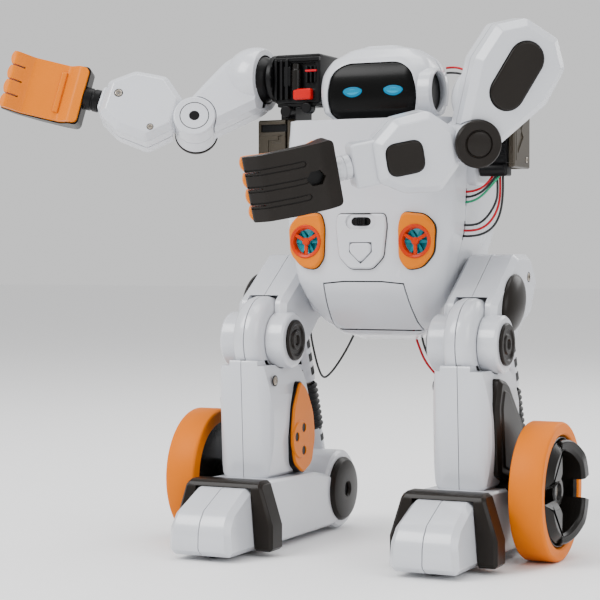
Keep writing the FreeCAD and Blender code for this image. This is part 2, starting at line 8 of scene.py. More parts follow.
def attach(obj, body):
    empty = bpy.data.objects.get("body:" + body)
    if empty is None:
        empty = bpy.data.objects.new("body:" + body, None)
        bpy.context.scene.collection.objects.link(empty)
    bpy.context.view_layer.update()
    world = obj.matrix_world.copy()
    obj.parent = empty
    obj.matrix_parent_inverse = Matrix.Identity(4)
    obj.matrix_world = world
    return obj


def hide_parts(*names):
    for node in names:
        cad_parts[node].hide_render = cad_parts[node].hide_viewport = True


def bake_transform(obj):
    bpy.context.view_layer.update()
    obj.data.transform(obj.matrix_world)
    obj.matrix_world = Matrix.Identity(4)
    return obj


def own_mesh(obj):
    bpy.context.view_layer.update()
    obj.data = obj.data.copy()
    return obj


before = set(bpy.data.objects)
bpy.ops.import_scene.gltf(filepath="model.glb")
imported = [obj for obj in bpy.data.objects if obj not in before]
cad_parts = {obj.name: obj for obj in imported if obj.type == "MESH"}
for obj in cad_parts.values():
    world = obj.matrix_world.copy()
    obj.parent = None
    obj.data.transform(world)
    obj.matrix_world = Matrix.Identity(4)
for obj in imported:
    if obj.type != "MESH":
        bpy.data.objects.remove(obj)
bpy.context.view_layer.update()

# A two-legged robot kit on wheels. Lengths are millimetres in the frame's own axes,
# and MM turns them into metres.
MM = 0.001

# Places that the CAD design fixes
WHEEL_RADIUS = 39.5
WHEEL_INNER_X = 97.9
WHEEL_OUTER_X = 117.2
RIM_RADIUS = 31.5
LEG_X = 67.5
HIP = (31.0, 150.5)
KNEE = (-10.5, 122.5)
HEEL = (63.0, 25.5)
STRUT_FOOT = (76.0, 32.0)
STRUT_TOP = (38.0, 137.0)
SPLIT_Y = 16.0
WALL = 2.4
HEAD_AXIS_Y = 20.0
LAMP_X = 34.5
LAMP_Z = 181.0
LAMP_RADIUS = 9.3
EAR = (11.0, 268.5)
EAR_RADIUS = 11.6
SLIDER_Z = 192.5
BUTTON_OUTLINE = [(-6.5, 180), (6.5, 180), (6.8, 175), (0, 168.5), (-6.8, 175)]
BALL_RADIUS = 16.0
SOCKET_RADIUS = 16.6
PIN_RADIUS = 2.95
PIN_HOLE = 3.05
BALL_NECK_RADIUS = 6.0
HIP_BOSS_RADIUS = 9.0
NECK_RADIUS = 9.0
SNUG = 0.05
SIDES = ("left", "right")


# ---- materials

UNEVEN_POLISH = 0.05


def set_inputs(node, **values):
    """Sets a shader node's inputs by name, an underscore standing for a space."""
    for name, value in values.items():
        node.inputs[name.replace("_", " ")].default_value = value


def surface(name, color, roughness, coat=0.0, metallic=0.0, glow=None, strength=0.0, grain=900.0,
            bump=0.02, tint=0.06, specular=0.5):
    """A moulded surface: slight colour drift, uneven polish and a fine skin texture."""
    material = bpy.data.materials.new(name)
    material.use_nodes = True
    tree = material.node_tree
    link = tree.links.new
    shader = tree.nodes["Principled BSDF"]
    set_inputs(shader, Metallic=metallic, Coat_Weight=coat, Specular_IOR_Level=specular, Coat_Roughness=0.08)
    coordinates = tree.nodes.new("ShaderNodeTexCoord")
    cloud = tree.nodes.new("ShaderNodeTexNoise")
    set_inputs(cloud, Scale=35.0, Detail=4.0)
    link(coordinates.outputs["Object"], cloud.inputs["Vector"])
    ramp = tree.nodes.new("ShaderNodeValToRGB")
    low, high = ramp.color_ramp.elements
    low.position = 0.3
    high.position = 0.7
    low.color = (*[channel * (1 - tint) for channel in color], 1)
    high.color = (*[min(1.0, channel * (1 + tint)) for channel in color], 1)
    link(cloud.outputs["Fac"], ramp.inputs["Fac"])
    link(ramp.outputs["Color"], shader.inputs["Base Color"])
    spread = tree.nodes.new("ShaderNodeMapRange")
    set_inputs(spread, To_Min=max(0.03, roughness - UNEVEN_POLISH), To_Max=roughness + UNEVEN_POLISH)
    link(cloud.outputs["Fac"], spread.inputs["Value"])
    link(spread.outputs["Result"], shader.inputs["Roughness"])
    skin_noise = tree.nodes.new("ShaderNodeTexNoise")
    set_inputs(skin_noise, Scale=grain, Detail=3.0)
    link(coordinates.outputs["Object"], skin_noise.inputs["Vector"])
    relief = tree.nodes.new("ShaderNodeBump")
    set_inputs(relief, Strength=bump, Distance=0.0004)
    link(skin_noise.outputs["Fac"], relief.inputs["Height"])
    link(relief.outputs["Normal"], shader.inputs["Normal"])
    if glow:
        set_inputs(shader, Emission_Color=(*glow, 1), Emission_Strength=strength)
    return material


WHITE = surface("white_plastic", (0.55, 0.565, 0.60), 0.25, coat=0.4, tint=0.015, bump=0.01)
DARK = surface("dark_plastic", (0.010, 0.0078, 0.0062), 0.32, coat=0.03, tint=0.10, bump=0.03, specular=0.15)
BLACK = surface("black_plastic", (0.003, 0.003, 0.0033), 0.38, coat=0.02, tint=0.2, bump=0.04, specular=0.15)
GLOSS = surface("black_gloss_plastic", (0.001, 0.001, 0.001), 0.26, tint=0.1, bump=0.0, specular=0.12)
HUB = surface("hub_plastic", (0.006, 0.005, 0.0042), 0.26, coat=0.04, tint=0.12, bump=0.02, specular=0.2)
ORANGE = surface("orange_plastic", (0.66, 0.165, 0.0), 0.30, tint=0.03, bump=0.01, specular=0.12)
LAMP_RING = surface("lamp_ring_plastic", (0.50, 0.030, 0.0), 0.26, tint=0.03, bump=0.01, specular=0.15)
TYRE = surface("orange_tyre_rubber", (0.66, 0.155, 0.0), 0.45, tint=0.03, bump=0.05, specular=0.08)
OLIVE = surface("olive_plastic", (0.040, 0.033, 0.023), 0.38, coat=0.02, tint=0.12, bump=0.04, specular=0.2)
RUBBER = surface("black_rubber", (0.007, 0.007, 0.0075), 0.5, tint=0.2, bump=0.06, specular=0.3)
RED = surface("red_plastic", (0.50, 0.002, 0.002), 0.28, coat=0.05, tint=0.05, bump=0.01, specular=0.2)
STEEL = surface("screw_steel", (0.36, 0.32, 0.27), 0.32, metallic=1.0, tint=0.15, grain=2500, bump=0.08)
EYE = surface("eye_light", (0.0, 0.06, 0.10), 0.35, glow=(0.0, 0.30, 0.62), strength=0.6, specular=0.05)
EYE_CORE = surface("eye_light_core", (0.0, 0.10, 0.16), 0.35, glow=(0.0, 0.50, 0.85), strength=0.7,
                   specular=0.05)
TEAL = surface("teal_reflector", (0.0, 0.20, 0.25), 0.16, coat=0.3, metallic=0.3, tint=0.3, specular=0.3)
LEAD_RED = surface("red_lead", (0.45, 0.003, 0.012), 0.36, tint=0.05, specular=0.2)
LEAD_BLACK = surface("black_lead", (0.006, 0.007, 0.008), 0.34, coat=0.1, tint=0.1, specular=0.35)
LEAD_GREEN = surface("green_lead", (0.0, 0.24, 0.11), 0.34, coat=0.1, tint=0.05, specular=0.35)


# ---- flat outlines


def area(outline):
    """The signed area of a flat outline."""
    pairs = zip(outline, outline[1:] + outline[:1])
    return sum(a[0] * b[1] - b[0] * a[1] for a, b in pairs) / 2


def neighbours(outline, index):
    """A corner of an outline with the corners before and after it."""
    count = len(outline)
    return [Vector(outline[(index + step) % count]) for step in (-1, 0, 1)]


def inset_outline(outline, inset):
    """The outline with each side moved inwards, keeping its number of points."""
    if not inset:
        return list(outline)
    turn = 1 if area(outline) > 0 else -1
    moved = []
    for index in range(len(outline)):
        before, corner, after = neighbours(outline, index)
        first = (corner - before).normalized()
        second = (after - corner).normalized()
        first_in = Vector((-first.y, first.x)) * turn
        second_in = Vector((-second.y, second.x)) * turn
        bisector = first_in + second_in
        if bisector.length < 0.05:
            bisector = first_in
        bisector = bisector.normalized()
        moved.append(tuple(corner + bisector * (inset / max(0.35, bisector.dot(first_in)))))
    return moved


def soften(outline, radius, steps=5):
    """The outline with its corners turned into curves."""
    result = []
    for index in range(len(outline)):
        before, corner, after = neighbours(outline, index)
        reach = min(radius, 0.45 * (corner - before).length, 0.45 * (after - corner).length)
        start = corner + (before - corner).normalized() * reach
        end = corner + (after - corner).normalized() * reach
        for step in range(steps + 1):
            t = step / steps
            result.append(tuple(start * (1 - t) ** 2 + corner * 2 * t * (1 - t) + end * t**2))
    return result


def arc(radius, centre=(0.0, 0.0), steps=48, start=0.0, end=360.0):
    """Points round a circle, or along part of it."""
    last = steps if abs(end - start) >= 360 else steps + 1
    angles = [math.radians(start + (end - start) * index / steps) for index in range(last)]
    return [(centre[0] + radius * math.cos(a), centre[1] + radius * math.sin(a)) for a in angles]


def rectangle(x_low, x_high, y_low, y_high):
    """A flat rectangle's corners."""
    return [(x_low, y_low), (x_high, y_low), (x_high, y_high), (x_low, y_high)]


def mirrored(half):
    """An outline from its lower half, the same above the first axis as below it."""
    return half + [(x, -y) for x, y in reversed(half)]


def capsule(x_low, x_high, y_middle, radius):
    """A flat pill shape lying along x."""
    right = arc(radius, (x_high - radius, y_middle), 16, -90, 90)
    return right + arc(radius, (x_low + radius, y_middle), 16, 90, 270)


# ---- solids

EDGE_ANGLE = math.radians(28)
IDENTITY = Matrix.Identity(4)
MIRROR = Matrix.Scale(-1, 4, Vector((1, 0, 0)))
PLACES = (("left", IDENTITY), ("right", MIRROR))


def solid(points, faces, place=IDENTITY):
    """A closed mesh from points in millimetres, with no body or material yet."""
    mesh = bpy.data.meshes.new("solid")
    mesh.from_pydata([(place @ Vector(point)) * MM for point in points], [], faces)
    work = bmesh.new()
    work.from_mesh(mesh)
    bmesh.ops.remove_doubles(work, verts=work.verts, dist=0.000002)
    bmesh.ops.recalc_face_normals(work, faces=work.faces)
    work.to_mesh(mesh)
    work.free()
    shown = bpy.data.objects.new("solid", mesh)
    bpy.context.scene.collection.objects.link(shown)
    return shown


def on_axis(axis, position, point):
    """A flat point set at a position along an axis."""
    if axis == "X":
        return (position, point[0], point[1])
    if axis == "Y":
        return (point[0], position, point[1])
    return (point[0], point[1], position)


def stacked(loops, place=IDENTITY):
    """A closed skin over loops with equal numbers of points."""
    count = len(loops[0])
    points = [point for loop in loops for point in loop]
    faces = []
    for level in range(len(loops) - 1):
        for index in range(count):
            after = (index + 1) % count
            low, high = level * count, (level + 1) * count
            faces.append((low + index, low + after, high + after, high + index))
    faces.append(tuple(range(count)))
    faces.append(tuple(reversed(range(len(points) - count, len(points)))))
    return solid(points, faces, place)


def slab(outline, axis, levels, place=IDENTITY, soft=0.0):
    """An outline stacked along an axis, drawn in at each level by its own inset, its corners softened."""
    loops = []
    for position, inset in levels:
        loop = inset_outline(outline, inset)
        if soft:
            loop = soften(loop, max(0.3, soft - inset * 0.4), 4)
        loops.append([on_axis(axis, position, point) for point in loop])
    return stacked(loops, place)


def block(outline, axis, low, high, place=IDENTITY, edge=0.0):
    """An outline with some thickness, with chamfered ends if an edge is given."""
    if edge:
        return slab(outline, axis, [(low, edge), (low + edge, 0), (high - edge, 0), (high, edge)], place)
    return slab(outline, axis, [(low, 0), (high, 0)], place)


def cuboid(x_low, x_high, y_low, y_high, z_low, z_high, place=IDENTITY, edge=0.0):
    """A box from its ranges."""
    return block(rectangle(x_low, x_high, y_low, y_high), "Z", z_low, z_high, place, edge)


def holed(outline, axis, levels, centre, radius):
    """An outline stacked along an axis, with a round hole through it."""
    loops = [[on_axis(axis, position, point) for point in inset_outline(outline, inset)]
             for position, inset in levels]
    angles = [math.atan2(point[1] - centre[1], point[0] - centre[0]) for point in outline]
    rim = [(centre[0] + radius * math.cos(a), centre[1] + radius * math.sin(a)) for a in angles]
    loops += [[on_axis(axis, position, point) for point in rim] for position in (levels[-1][0], levels[0][0])]
    count = len(outline)
    faces = []
    for level in range(len(loops)):
        low, high = level * count, (level + 1) % len(loops) * count
        for index in range(count):
            after = (index + 1) % count
            faces.append((low + index, low + after, high + after, high + index))
    return solid([point for loop in loops for point in loop], faces)


def lathe(profile, axis="X", centre=(0.0, 0.0), place=IDENTITY, steps=72):
    """A turned solid: (position, radius) points revolved about an axis."""
    loops = [[on_axis(axis, pos, point) for point in arc(radius, centre, steps)] for pos, radius in profile]
    return stacked(loops, place)


def rod(radius, low, high, axis="X", centre=(0.0, 0.0), place=IDENTITY, steps=72):
    """A plain round bar between two positions on an axis."""
    return lathe([(low, radius), (high, radius)], axis, centre, place, steps)


def ring(profile, axis="X", centre=(0.0, 0.0), place=IDENTITY, steps=72):
    """A closed profile of (position, radius) points revolved about an axis."""
    points = []
    faces = []
    count = len(profile)
    for turn in range(steps):
        angle = math.tau * turn / steps
        for pos, radius in profile:
            flat = (centre[0] + radius * math.cos(angle), centre[1] + radius * math.sin(angle))
            points.append(on_axis(axis, pos, flat))
    for turn in range(steps):
        here, there = turn * count, (turn + 1) % steps * count
        for index in range(count):
            after = (index + 1) % count
            faces.append((here + index, here + after, there + after, there + index))
    return solid(points, faces, place)


def ball(centre, radius, place=IDENTITY):
    """A sphere about a centre."""
    profile = []
    for step in range(37):
        angle = math.pi * (1 - (step + 0.2) / 36.4)
        profile.append((centre[0] + radius * math.cos(angle), radius * math.sin(angle)))
    return lathe(profile, "X", centre[1:], place)


def sweep(path, radius):
    """A round tube along a line of points in space."""
    points = [Vector(point) for point in path]
    loops = []
    side = Vector((0, 0, 1)).cross(points[1] - points[0])
    if side.length < 0.001:
        side = Vector((1, 0, 0))
    for index, point in enumerate(points):
        before, after = points[max(0, index - 1)], points[min(len(points) - 1, index + 1)]
        along = (after - before).normalized()
        side = (side - along * side.dot(along)).normalized()
        other = along.cross(side)
        turns = [math.tau * step / 10 for step in range(10)]
        loops.append([tuple(point + (side * math.cos(a) + other * math.sin(a)) * radius) for a in turns])
    return stacked(loops)


def rounded_section(section, inset=0.0):
    """A level rounded rectangle from (z, half width, front, back, corner radius)."""
    z, half_width, front, back, radius = section
    half_width, front, back = half_width - inset, front + inset, back - inset
    radius = max(0.5, min(radius - inset * 0.5, 0.48 * half_width, 0.48 * (back - front)))
    loop = []
    corners = [(1, front, -90), (1, back, 0), (-1, back, 90), (-1, front, 180)]
    for side, y, start in corners:
        centre = (side * (half_width - radius), y + (radius if y == front else -radius))
        loop += [(x, y, z) for x, y in arc(radius, centre, 10, start, start + 90)]
    return loop


def smooth_sections(sections, steps=5):
    """Extra sections between the given ones, following a smooth curve through them."""
    result = []
    last = len(sections) - 1
    for index in range(last):
        four = [sections[min(last, max(0, index + step))] for step in (-1, 0, 1, 2)]
        for step in range(steps):
            t = step / steps
            row = []
            for p0, p1, p2, p3 in zip(*four):
                slope_in, slope_out = (p2 - p0) / 2, (p3 - p1) / 2
                row.append(
                    (2 * t**3 - 3 * t**2 + 1) * p1 + (t**3 - 2 * t**2 + t) * slope_in
                    + (3 * t**2 - 2 * t**3) * p2 + (t**3 - t**2) * slope_out
                )
            row[0] = four[1][0] + (four[2][0] - four[1][0]) * t
            result.append(tuple(row))
    result.append(sections[last])
    return result


def lofted(sections, inset=0.0):
    """A solid through level rounded rectangles, optionally drawn in all round."""
    return stacked([rounded_section(section, inset) for section in sections])


def fix_modifiers(shown):
    """Turns a solid's modifiers into its mesh and clears away its tiniest edges."""
    bpy.context.view_layer.update()
    evaluated = shown.evaluated_get(bpy.context.evaluated_depsgraph_get())
    mesh = bpy.data.meshes.new_from_object(evaluated)
    work = bmesh.new()
    work.from_mesh(mesh)
    bmesh.ops.remove_doubles(work, verts=work.verts, dist=0.00002)
    bmesh.ops.dissolve_limit(work, angle_limit=math.radians(0.6), verts=work.verts, edges=work.edges)
    work.to_mesh(mesh)
    work.free()
    old = shown.data
    shown.modifiers.clear()
    shown.data = mesh
    bpy.data.meshes.remove(old)


def carve(shown, cutters, operation="DIFFERENCE"):
    """Cuts solids out of one, or keeps only what lies within them, and removes the cutters."""
    for cutter in cutters:
        cut = shown.modifiers.new("cut", "BOOLEAN")
        cut.operation = operation
        cut.solver = "EXACT"
        cut.object = cutter
    fix_modifiers(shown)
    for cutter in cutters:
        bpy.data.objects.remove(cutter)
    return shown


def facet(shown, width):
    """Cuts one flat chamfer along each sharp edge."""
    cut = shown.modifiers.new("facet", "BEVEL")
    cut.width = width * MM
    cut.segments = 1
    cut.limit_method = "ANGLE"
    cut.angle_limit = EDGE_ANGLE
    fix_modifiers(shown)
    return shown


def add(name, shown, body, material, bevel=0.4, cuts=(), within=(), nodes=(), smooth=35.0, segments=3):
    """Makes a solid a piece of the robot: carved, shaded, softly rounded and carried by a body."""
    if within:
        carve(shown, within, "INTERSECT")
    if cuts:
        carve(shown, cuts)
    shown.name = name
    shown.data.name = name
    shown.data.materials.clear()
    shown.data.materials.append(material)
    for polygon in shown.data.polygons:
        polygon.use_smooth = True
    shown.data.set_sharp_from_angle(angle=math.radians(smooth))
    if bevel:
        rounding = shown.modifiers.new("rounded_edges", "BEVEL")
        rounding.width = bevel * MM
        rounding.segments = segments
        rounding.limit_method = "ANGLE"
        rounding.angle_limit = EDGE_ANGLE
        rounding.harden_normals = True
    if body:
        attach(shown, body)
    if nodes:
        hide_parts(*nodes)
    return shown


def fitter(side, body):
    """A short form of add for one body on one side of the robot, which puts the side before each name."""

    def fit(name, shown, material, bevel=0.4, node="", **options):
        nodes = [f"{side}_{node}"] if node else []
        return add(f"{side}_{name}", shown, body, material, bevel, nodes=nodes, **options)

    return fit


def turned(place, degrees, axis):
    """A placing turned about one of its own axes."""
    return place @ Matrix.Rotation(math.radians(degrees), 4, axis)


def screw(name, centre, direction, radius, body, place=IDENTITY):
    """A cross-head screw seen end on, in a shallow well whose shade is painted as a black ring."""
    turn = Vector(direction).to_track_quat("Z", "Y").to_matrix().to_4x4()
    spot = place @ Matrix.Translation(Vector(centre)) @ turn
    long, short = radius * 0.6, radius * 0.17
    cross = [cuboid(-x, x, -y, y, 0.0, 1.0, spot) for x, y in ((long, short), (short, long))]
    button = lathe([(-0.6, radius), (0.15, radius), (0.4, radius * 0.8)], "Z", place=spot, steps=32)
    add(name, button, body, STEEL, 0.08, cuts=cross, segments=2)
    # painted shade: the black ring stands for the shade in the well round the screw head
    well = [(-0.5, radius), (-0.5, radius * 1.25), (0.06, radius * 1.25), (0.06, radius)]
    add(name + "_well", ring(well, "Z", place=spot, steps=32), body, BLACK, 0)


def framed(origin, x_direction, z_direction):
    """A matrix from a limb's own frame to the robot's, x along the limb."""
    x = Vector(x_direction).normalized()
    z = Vector(z_direction)
    z = (z - x * z.dot(x)).normalized()
    y = z.cross(x)
    return Matrix.Translation(Vector(origin)) @ Matrix((x, y, z)).transposed().to_4x4()


# ---- camera, floor and light


def studio():
    """The camera at the robot's front left, a pale floor and soft light."""
    camera_data = bpy.data.cameras.new("camera")
    camera_data.lens = 109.06
    camera_data.sensor_width = 36.0
    camera = bpy.data.objects.new("camera", camera_data)
    right = Vector((0.9046, 0.4262, 0.0)).normalized()
    forward = Vector((-0.4261, 0.9044, -0.0227)).normalized()
    up = right.cross(forward)
    turn = Matrix((right, up, -forward)).transposed().to_4x4()
    camera.matrix_world = Matrix.Translation(Vector((418.8, -987.2, 170.9)) * MM) @ turn
    bpy.context.scene.collection.objects.link(camera)
    bpy.context.scene.camera = camera

    floor_mesh = bpy.data.meshes.new("floor")
    floor_mesh.from_pydata([(-9, -9, 0), (9, -9, 0), (9, 9, 0), (-9, 9, 0)], [], [(0, 1, 2, 3)])
    floor = bpy.data.objects.new("floor", floor_mesh)
    paper = bpy.data.materials.new("floor_paper")
    paper.use_nodes = True
    set_inputs(paper.node_tree.nodes["Principled BSDF"], Base_Color=(0.93, 0.93, 0.935, 1), Roughness=0.55)
    floor_mesh.materials.append(paper)
    bpy.context.scene.collection.objects.link(floor)

    world = bpy.data.worlds.new("studio")
    world.use_nodes = True
    set_inputs(world.node_tree.nodes["Background"], Color=(1.0, 1.0, 1.0, 1), Strength=0.85)
    bpy.context.scene.world = world
    target = Vector((0, 0, 0.15))
    lights = [
        ("key", (-0.75, -1.1, 1.3), 0.9, 30.0),
        ("fill", (1.3, -0.6, 0.7), 0.9, 8.0),
        ("top", (0.1, 0.2, 1.5), 1.1, 14.0),
        ("rear", (0.6, 1.3, 0.9), 0.8, 8.0),
    ]
    for name, spot, size, power in lights:
        data = bpy.data.lights.new(name, "AREA")
        data.size = size
        data.energy = power
        light = bpy.data.objects.new(name, data)
        light.location = spot
        light.rotation_euler = (target - Vector(spot)).to_track_quat("-Z", "Y").to_euler()
        bpy.context.scene.collection.objects.link(light)


# ---- leads

WIRE_DIAMETER = 1.4
RIGHT_LEG_WIRE = [
    (-24, 34, 128), (-28.5, 35.5, 120), (-37, 40, 109), (-47, 47, 99.5), (-56, 55, 95), (-62, 60, 102),
    (-64, 58, 113), (-63, 51, 124), (-62, 47, 134.5),
]
LEFT_LEG_RED_WIRE = [
    (15, 30, 128), (17, 32, 120), (20, 37, 108), (28, 44, 97), (40, 50, 91), (52, 57, 92), (60, 61, 101),
    (63, 58, 113), (62, 51, 124), (61, 47, 134.5),
]
LEFT_LEG_BLACK_WIRE = [
    (19, 32, 128), (19.5, 34, 119), (24, 39, 107), (32, 47, 97), (43, 54, 94), (53, 61, 97), (58.5, 63, 107),
    (60, 58, 117), (59, 52, 126), (58.5, 48, 134.9),
]
HEAD_WIRES = [
    [(33.6, 35, 284.8), (38, 37, 285.5), (45, 35, 283.5), (52, 30, 279), (59, 24, 274.5), (66, 21, 268)],
    [(34.6, 33, 281.6), (38, 35, 282.0), (45, 32.5, 280.5), (52, 27, 277), (60, 23, 273.5), (64, 18.5, 268)],
]


def spline_points(points):
    """Points along the smooth line that control points set out, in millimetres."""
    curve = bpy.data.curves.new("route", "CURVE")
    curve.dimensions = "3D"
    spline = curve.splines.new("NURBS")
    spline.points.add(len(points) - 1)
    for target, point in zip(spline.points, points):
        target.co = (*point, 1)
    spline.order_u = 3
    spline.use_endpoint_u = True
    spline.resolution_u = 10
    holder = bpy.data.objects.new("route", curve)
    bpy.context.scene.collection.objects.link(holder)
    bpy.context.view_layer.update()
    mesh = bpy.data.meshes.new_from_object(holder.evaluated_get(bpy.context.evaluated_depsgraph_get()))
    path = [vertex.co.copy() for vertex in mesh.vertices]
    bpy.data.objects.remove(holder)
    bpy.data.meshes.remove(mesh)
    return path


def lead(name, points, material, node, bodies=("torso",)):
    """One insulated lead; with two bodies given it stays in the robot's own frame under neither body, with
    one it is carried by that body.
    """
    path = spline_points(points)
    shown = add(name, sweep(path, WIRE_DIAMETER / 2), None, material, 0, nodes=[node], smooth=60)
    if len(bodies) == 2:
        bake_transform(shown)
    else:
        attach(shown, bodies[0])


def leads():
    """Every hook-up lead."""
    lead("leg_lead_right", RIGHT_LEG_WIRE, LEAD_BLACK, "leg_wires", ("torso", "right_thigh"))
    lead("leg_lead_left_red", LEFT_LEG_RED_WIRE, LEAD_RED, "leg_wires", ("torso", "left_thigh"))
    lead("leg_lead_left_black", LEFT_LEG_BLACK_WIRE, LEAD_BLACK, "leg_wires", ("torso", "left_thigh"))
    lead("head_lead_red", HEAD_WIRES[0], LEAD_RED, "head_wires", ("head", "torso"))
    lead("head_lead_black", HEAD_WIRES[1], LEAD_BLACK, "head_wires", ("head", "torso"))
    upper = (LEAD_RED, LEAD_BLACK, LEAD_GREEN)
    for index, z in enumerate((210.0, 207.0, 204.0)):
        points = [(42.5, 16, z), (50, 16, z), (58, 14.8, z), (66, 15, z + 0.35 * (218.5 - z)),
                  (69.0 + 2.0 * index, 18.6, 219.2)]
        lead(f"shoulder_lead_upper_{index}", points, upper[index], "shoulder_wires")
    lower = (LEAD_BLACK, LEAD_RED, LEAD_BLACK)
    for index, z in enumerate((190.6, 187.4, 184.2)):
        out = 1.6 * index
        points = [(51, 16, z), (59, 14.8, z - 0.5), (65.5 + out, 15.5, z + 3), (70.5 + out, 17.5, z + 11),
                  (71.8 + out, 20, 209), (70.5 + 1.8 * index, 21.6, 219.2)]
        lead(f"shoulder_lead_lower_{index}", points, lower[index], "shoulder_wires")


# ---- torso

TORSO_SECTIONS = smooth_sections([
    (122.5, 18.0, 24.0, 44.0, 8.0),
    (126.0, 27.0, 14.0, 54.0, 10.0),
    (134.0, 36.5, 4.5, 64.0, 13.0),
    (145.0, 43.0, -5.0, 71.5, 15.0),
    (158.0, 46.5, -12.5, 76.5, 15.0),
    (174.0, 49.2, -14.0, 79.0, 15.0),
    (188.0, 52.5, -14.0, 79.8, 15.0),
    (220.0, 53.8, -14.0, 79.8, 15.0),
    (252.5, 52.0, -12.5, 78.0, 15.0),
])
HOLLOW_SECTIONS = [section for section in TORSO_SECTIONS if 125.5 < section[0] < 250.5]
DOOR_OUTLINE = [(-25, 156), (-12, 157.2), (12, 157.2), (25, 156), (27.5, 129), (-27.5, 129)]
PANEL_OUTLINE = [(-15, 197), (15, 197), (16, 190), (14, 172), (7, 165), (-7, 165), (-14, 172), (-16, 190)]
BEZEL_OUTLINE = [(26, 198), (40, 196.5), (46, 190), (45, 174), (38, 166), (29, 164.5), (24, 171), (23.5, 190)]


def torso_skin():
    """The hollow torso shell, whole."""
    skin = carve(lofted(TORSO_SECTIONS), [lofted(HOLLOW_SECTIONS, WALL)])
    cuts = [rod(NECK_RADIUS + SNUG, 240, 260, "Z", (0, HEAD_AXIS_Y))]
    for low, high in ((182, 193), (202, 212)):
        cuts.append(cuboid(46, 60, SPLIT_Y - 1.2, SPLIT_Y + 1.2, low, high))
    cuts.append(rod(HIP_BOSS_RADIUS + SNUG, -60, 60, "X", HIP))
    return carve(skin, cuts)


def chest_controls():
    """The shield on the chest with its slide switch and push button."""
    shield = soften(PANEL_OUTLINE, 2.5)
    pill = capsule(-9.5, 9.5, SLIDER_Z, 4.4)
    slot = capsule(-6.2, 6.2, SLIDER_Z, 2.5)
    well = inset_outline(BUTTON_OUTLINE, -0.45)
    panel = slab(shield, "Y", [(-12.6, 0), (-15.2, 0), (-16.0, 0.9)])
    cuts = [block(pill, "Y", -20, -15.0), block(slot, "Y", -20, -13.2), block(well, "Y", -20, -9)]
    add("chest_shield", panel, "torso", WHITE, 0.3, cuts=cuts)
    cuts = [block(well, "Y", -20, -9), block(slot, "Y", -20, -9)]
    # painted shade: a black sheet just behind the shield's edge stands for the shade in the gap round it
    gap = slab(inset_outline(shield, -0.5), "Y", [(-13.0, 0), (-14.12, 0)])
    add("chest_shield_gap", gap, "torso", BLACK, 0, cuts=cuts)
    add("switch_floor", block(slot, "Y", -14.6, -13.1), "torso", BLACK, 0)
    slider = slab(soften(rectangle(-3.0, 3.0, SLIDER_Z - 1.9, SLIDER_Z + 1.9), 0.8), "Y",
                  [(-14.75, 0), (-16.4, 0), (-16.9, 0.4)])
    grooves = [block(rectangle(x - 0.25, x + 0.25, 185, 200), "Y", -18, -16.5) for x in (-1.4, 0.0, 1.4)]
    add("mode_slider_knob", slider, "mode_slider", BLACK, 0.12, cuts=grooves, nodes=["mode_slider"])
    button = slab(BUTTON_OUTLINE, "Y", [(-10.6, 0), (-16.5, 0), (-17.1, 0.6)], soft=2.2)
    add("action_button_cap", button, "action_button", WHITE, 0.15, nodes=["action_button"])
    # painted shade: a black sheet round the button stands for the shade in its gap
    gap = slab(inset_outline(BUTTON_OUTLINE, -0.5), "Y", [(-12.6, 0), (-13.6, 0)])
    hole = block(inset_outline(BUTTON_OUTLINE, -0.1), "Y", -20, -9)
    add("action_button_well", gap, "torso", BLACK, 0, cuts=[hole])


def lamps():
    """Two leaf-shaped lamp bezels with a ring, three spokes and a faceted teal reflector each."""
    facets = ("facet", 6, 0, rectangle(1.5, 7.4, -1.1, 1.1), (-14.9, -13.2), TEAL)
    spokes = ("spoke", 3, 90, rectangle(0.5, 8.0, -1.0, 1.0), (-17.2, -15.8), LAMP_RING)
    for side, sign in (("left", 1), ("right", -1)):
        leaf = soften([(sign * x, z) for x, z in BEZEL_OUTLINE], 3.5)
        centre = (sign * LAMP_X, LAMP_Z)
        plate = holed(leaf, "Y", [(-12.5, 0), (-16.4, 0), (-17.5, 1.1)], centre, LAMP_RADIUS)
        add(f"{side}_lamp_bezel", plate, "torso", ORANGE, 0.3, nodes=["lamp_bezels"])
        # painted shade: a black sheet behind the bezel's edge stands for the shade in the gap round it
        gap = holed(inset_outline(leaf, -0.55), "Y", [(-12.5, 0), (-14.15, 0)], centre, LAMP_RADIUS)
        add(f"{side}_lamp_gap", gap, "torso", BLACK, 0)
        profile = [(-13, 9.4), (-17.9, 9.9), (-18.4, 9.3), (-17.6, 7.8), (-15.4, 7.2), (-13, 7.2)]
        add(f"{side}_lamp_ring", ring(profile, "Y", centre), "torso", LAMP_RING, 0.25)
        bowl = lathe([(-12.0, 8.8), (-14.4, 8.6), (-13.4, 5.5), (-12.9, 0.4)], "Y", centre)
        add(f"{side}_lamp_reflector", bowl, "torso", TEAL, 0, nodes=["lamp_reflectors"])
        middle = Matrix.Translation((centre[0], 0, centre[1]))
        for name, count, start, outline, depths, material in (facets, spokes):
            for index in range(count):
                blade = block(outline, "Y", *depths, turned(middle, start + 360 / count * index, "Y"), 0.3)
                add(f"{side}_lamp_{name}_{index}", blade, "torso", material, 0.1)
        hub = lathe([(-15.6, 2.2), (-17.4, 2.2), (-18.0, 1.4)], "Y", centre, steps=32)
        add(f"{side}_lamp_hub", hub, "torso", LAMP_RING, 0.1)


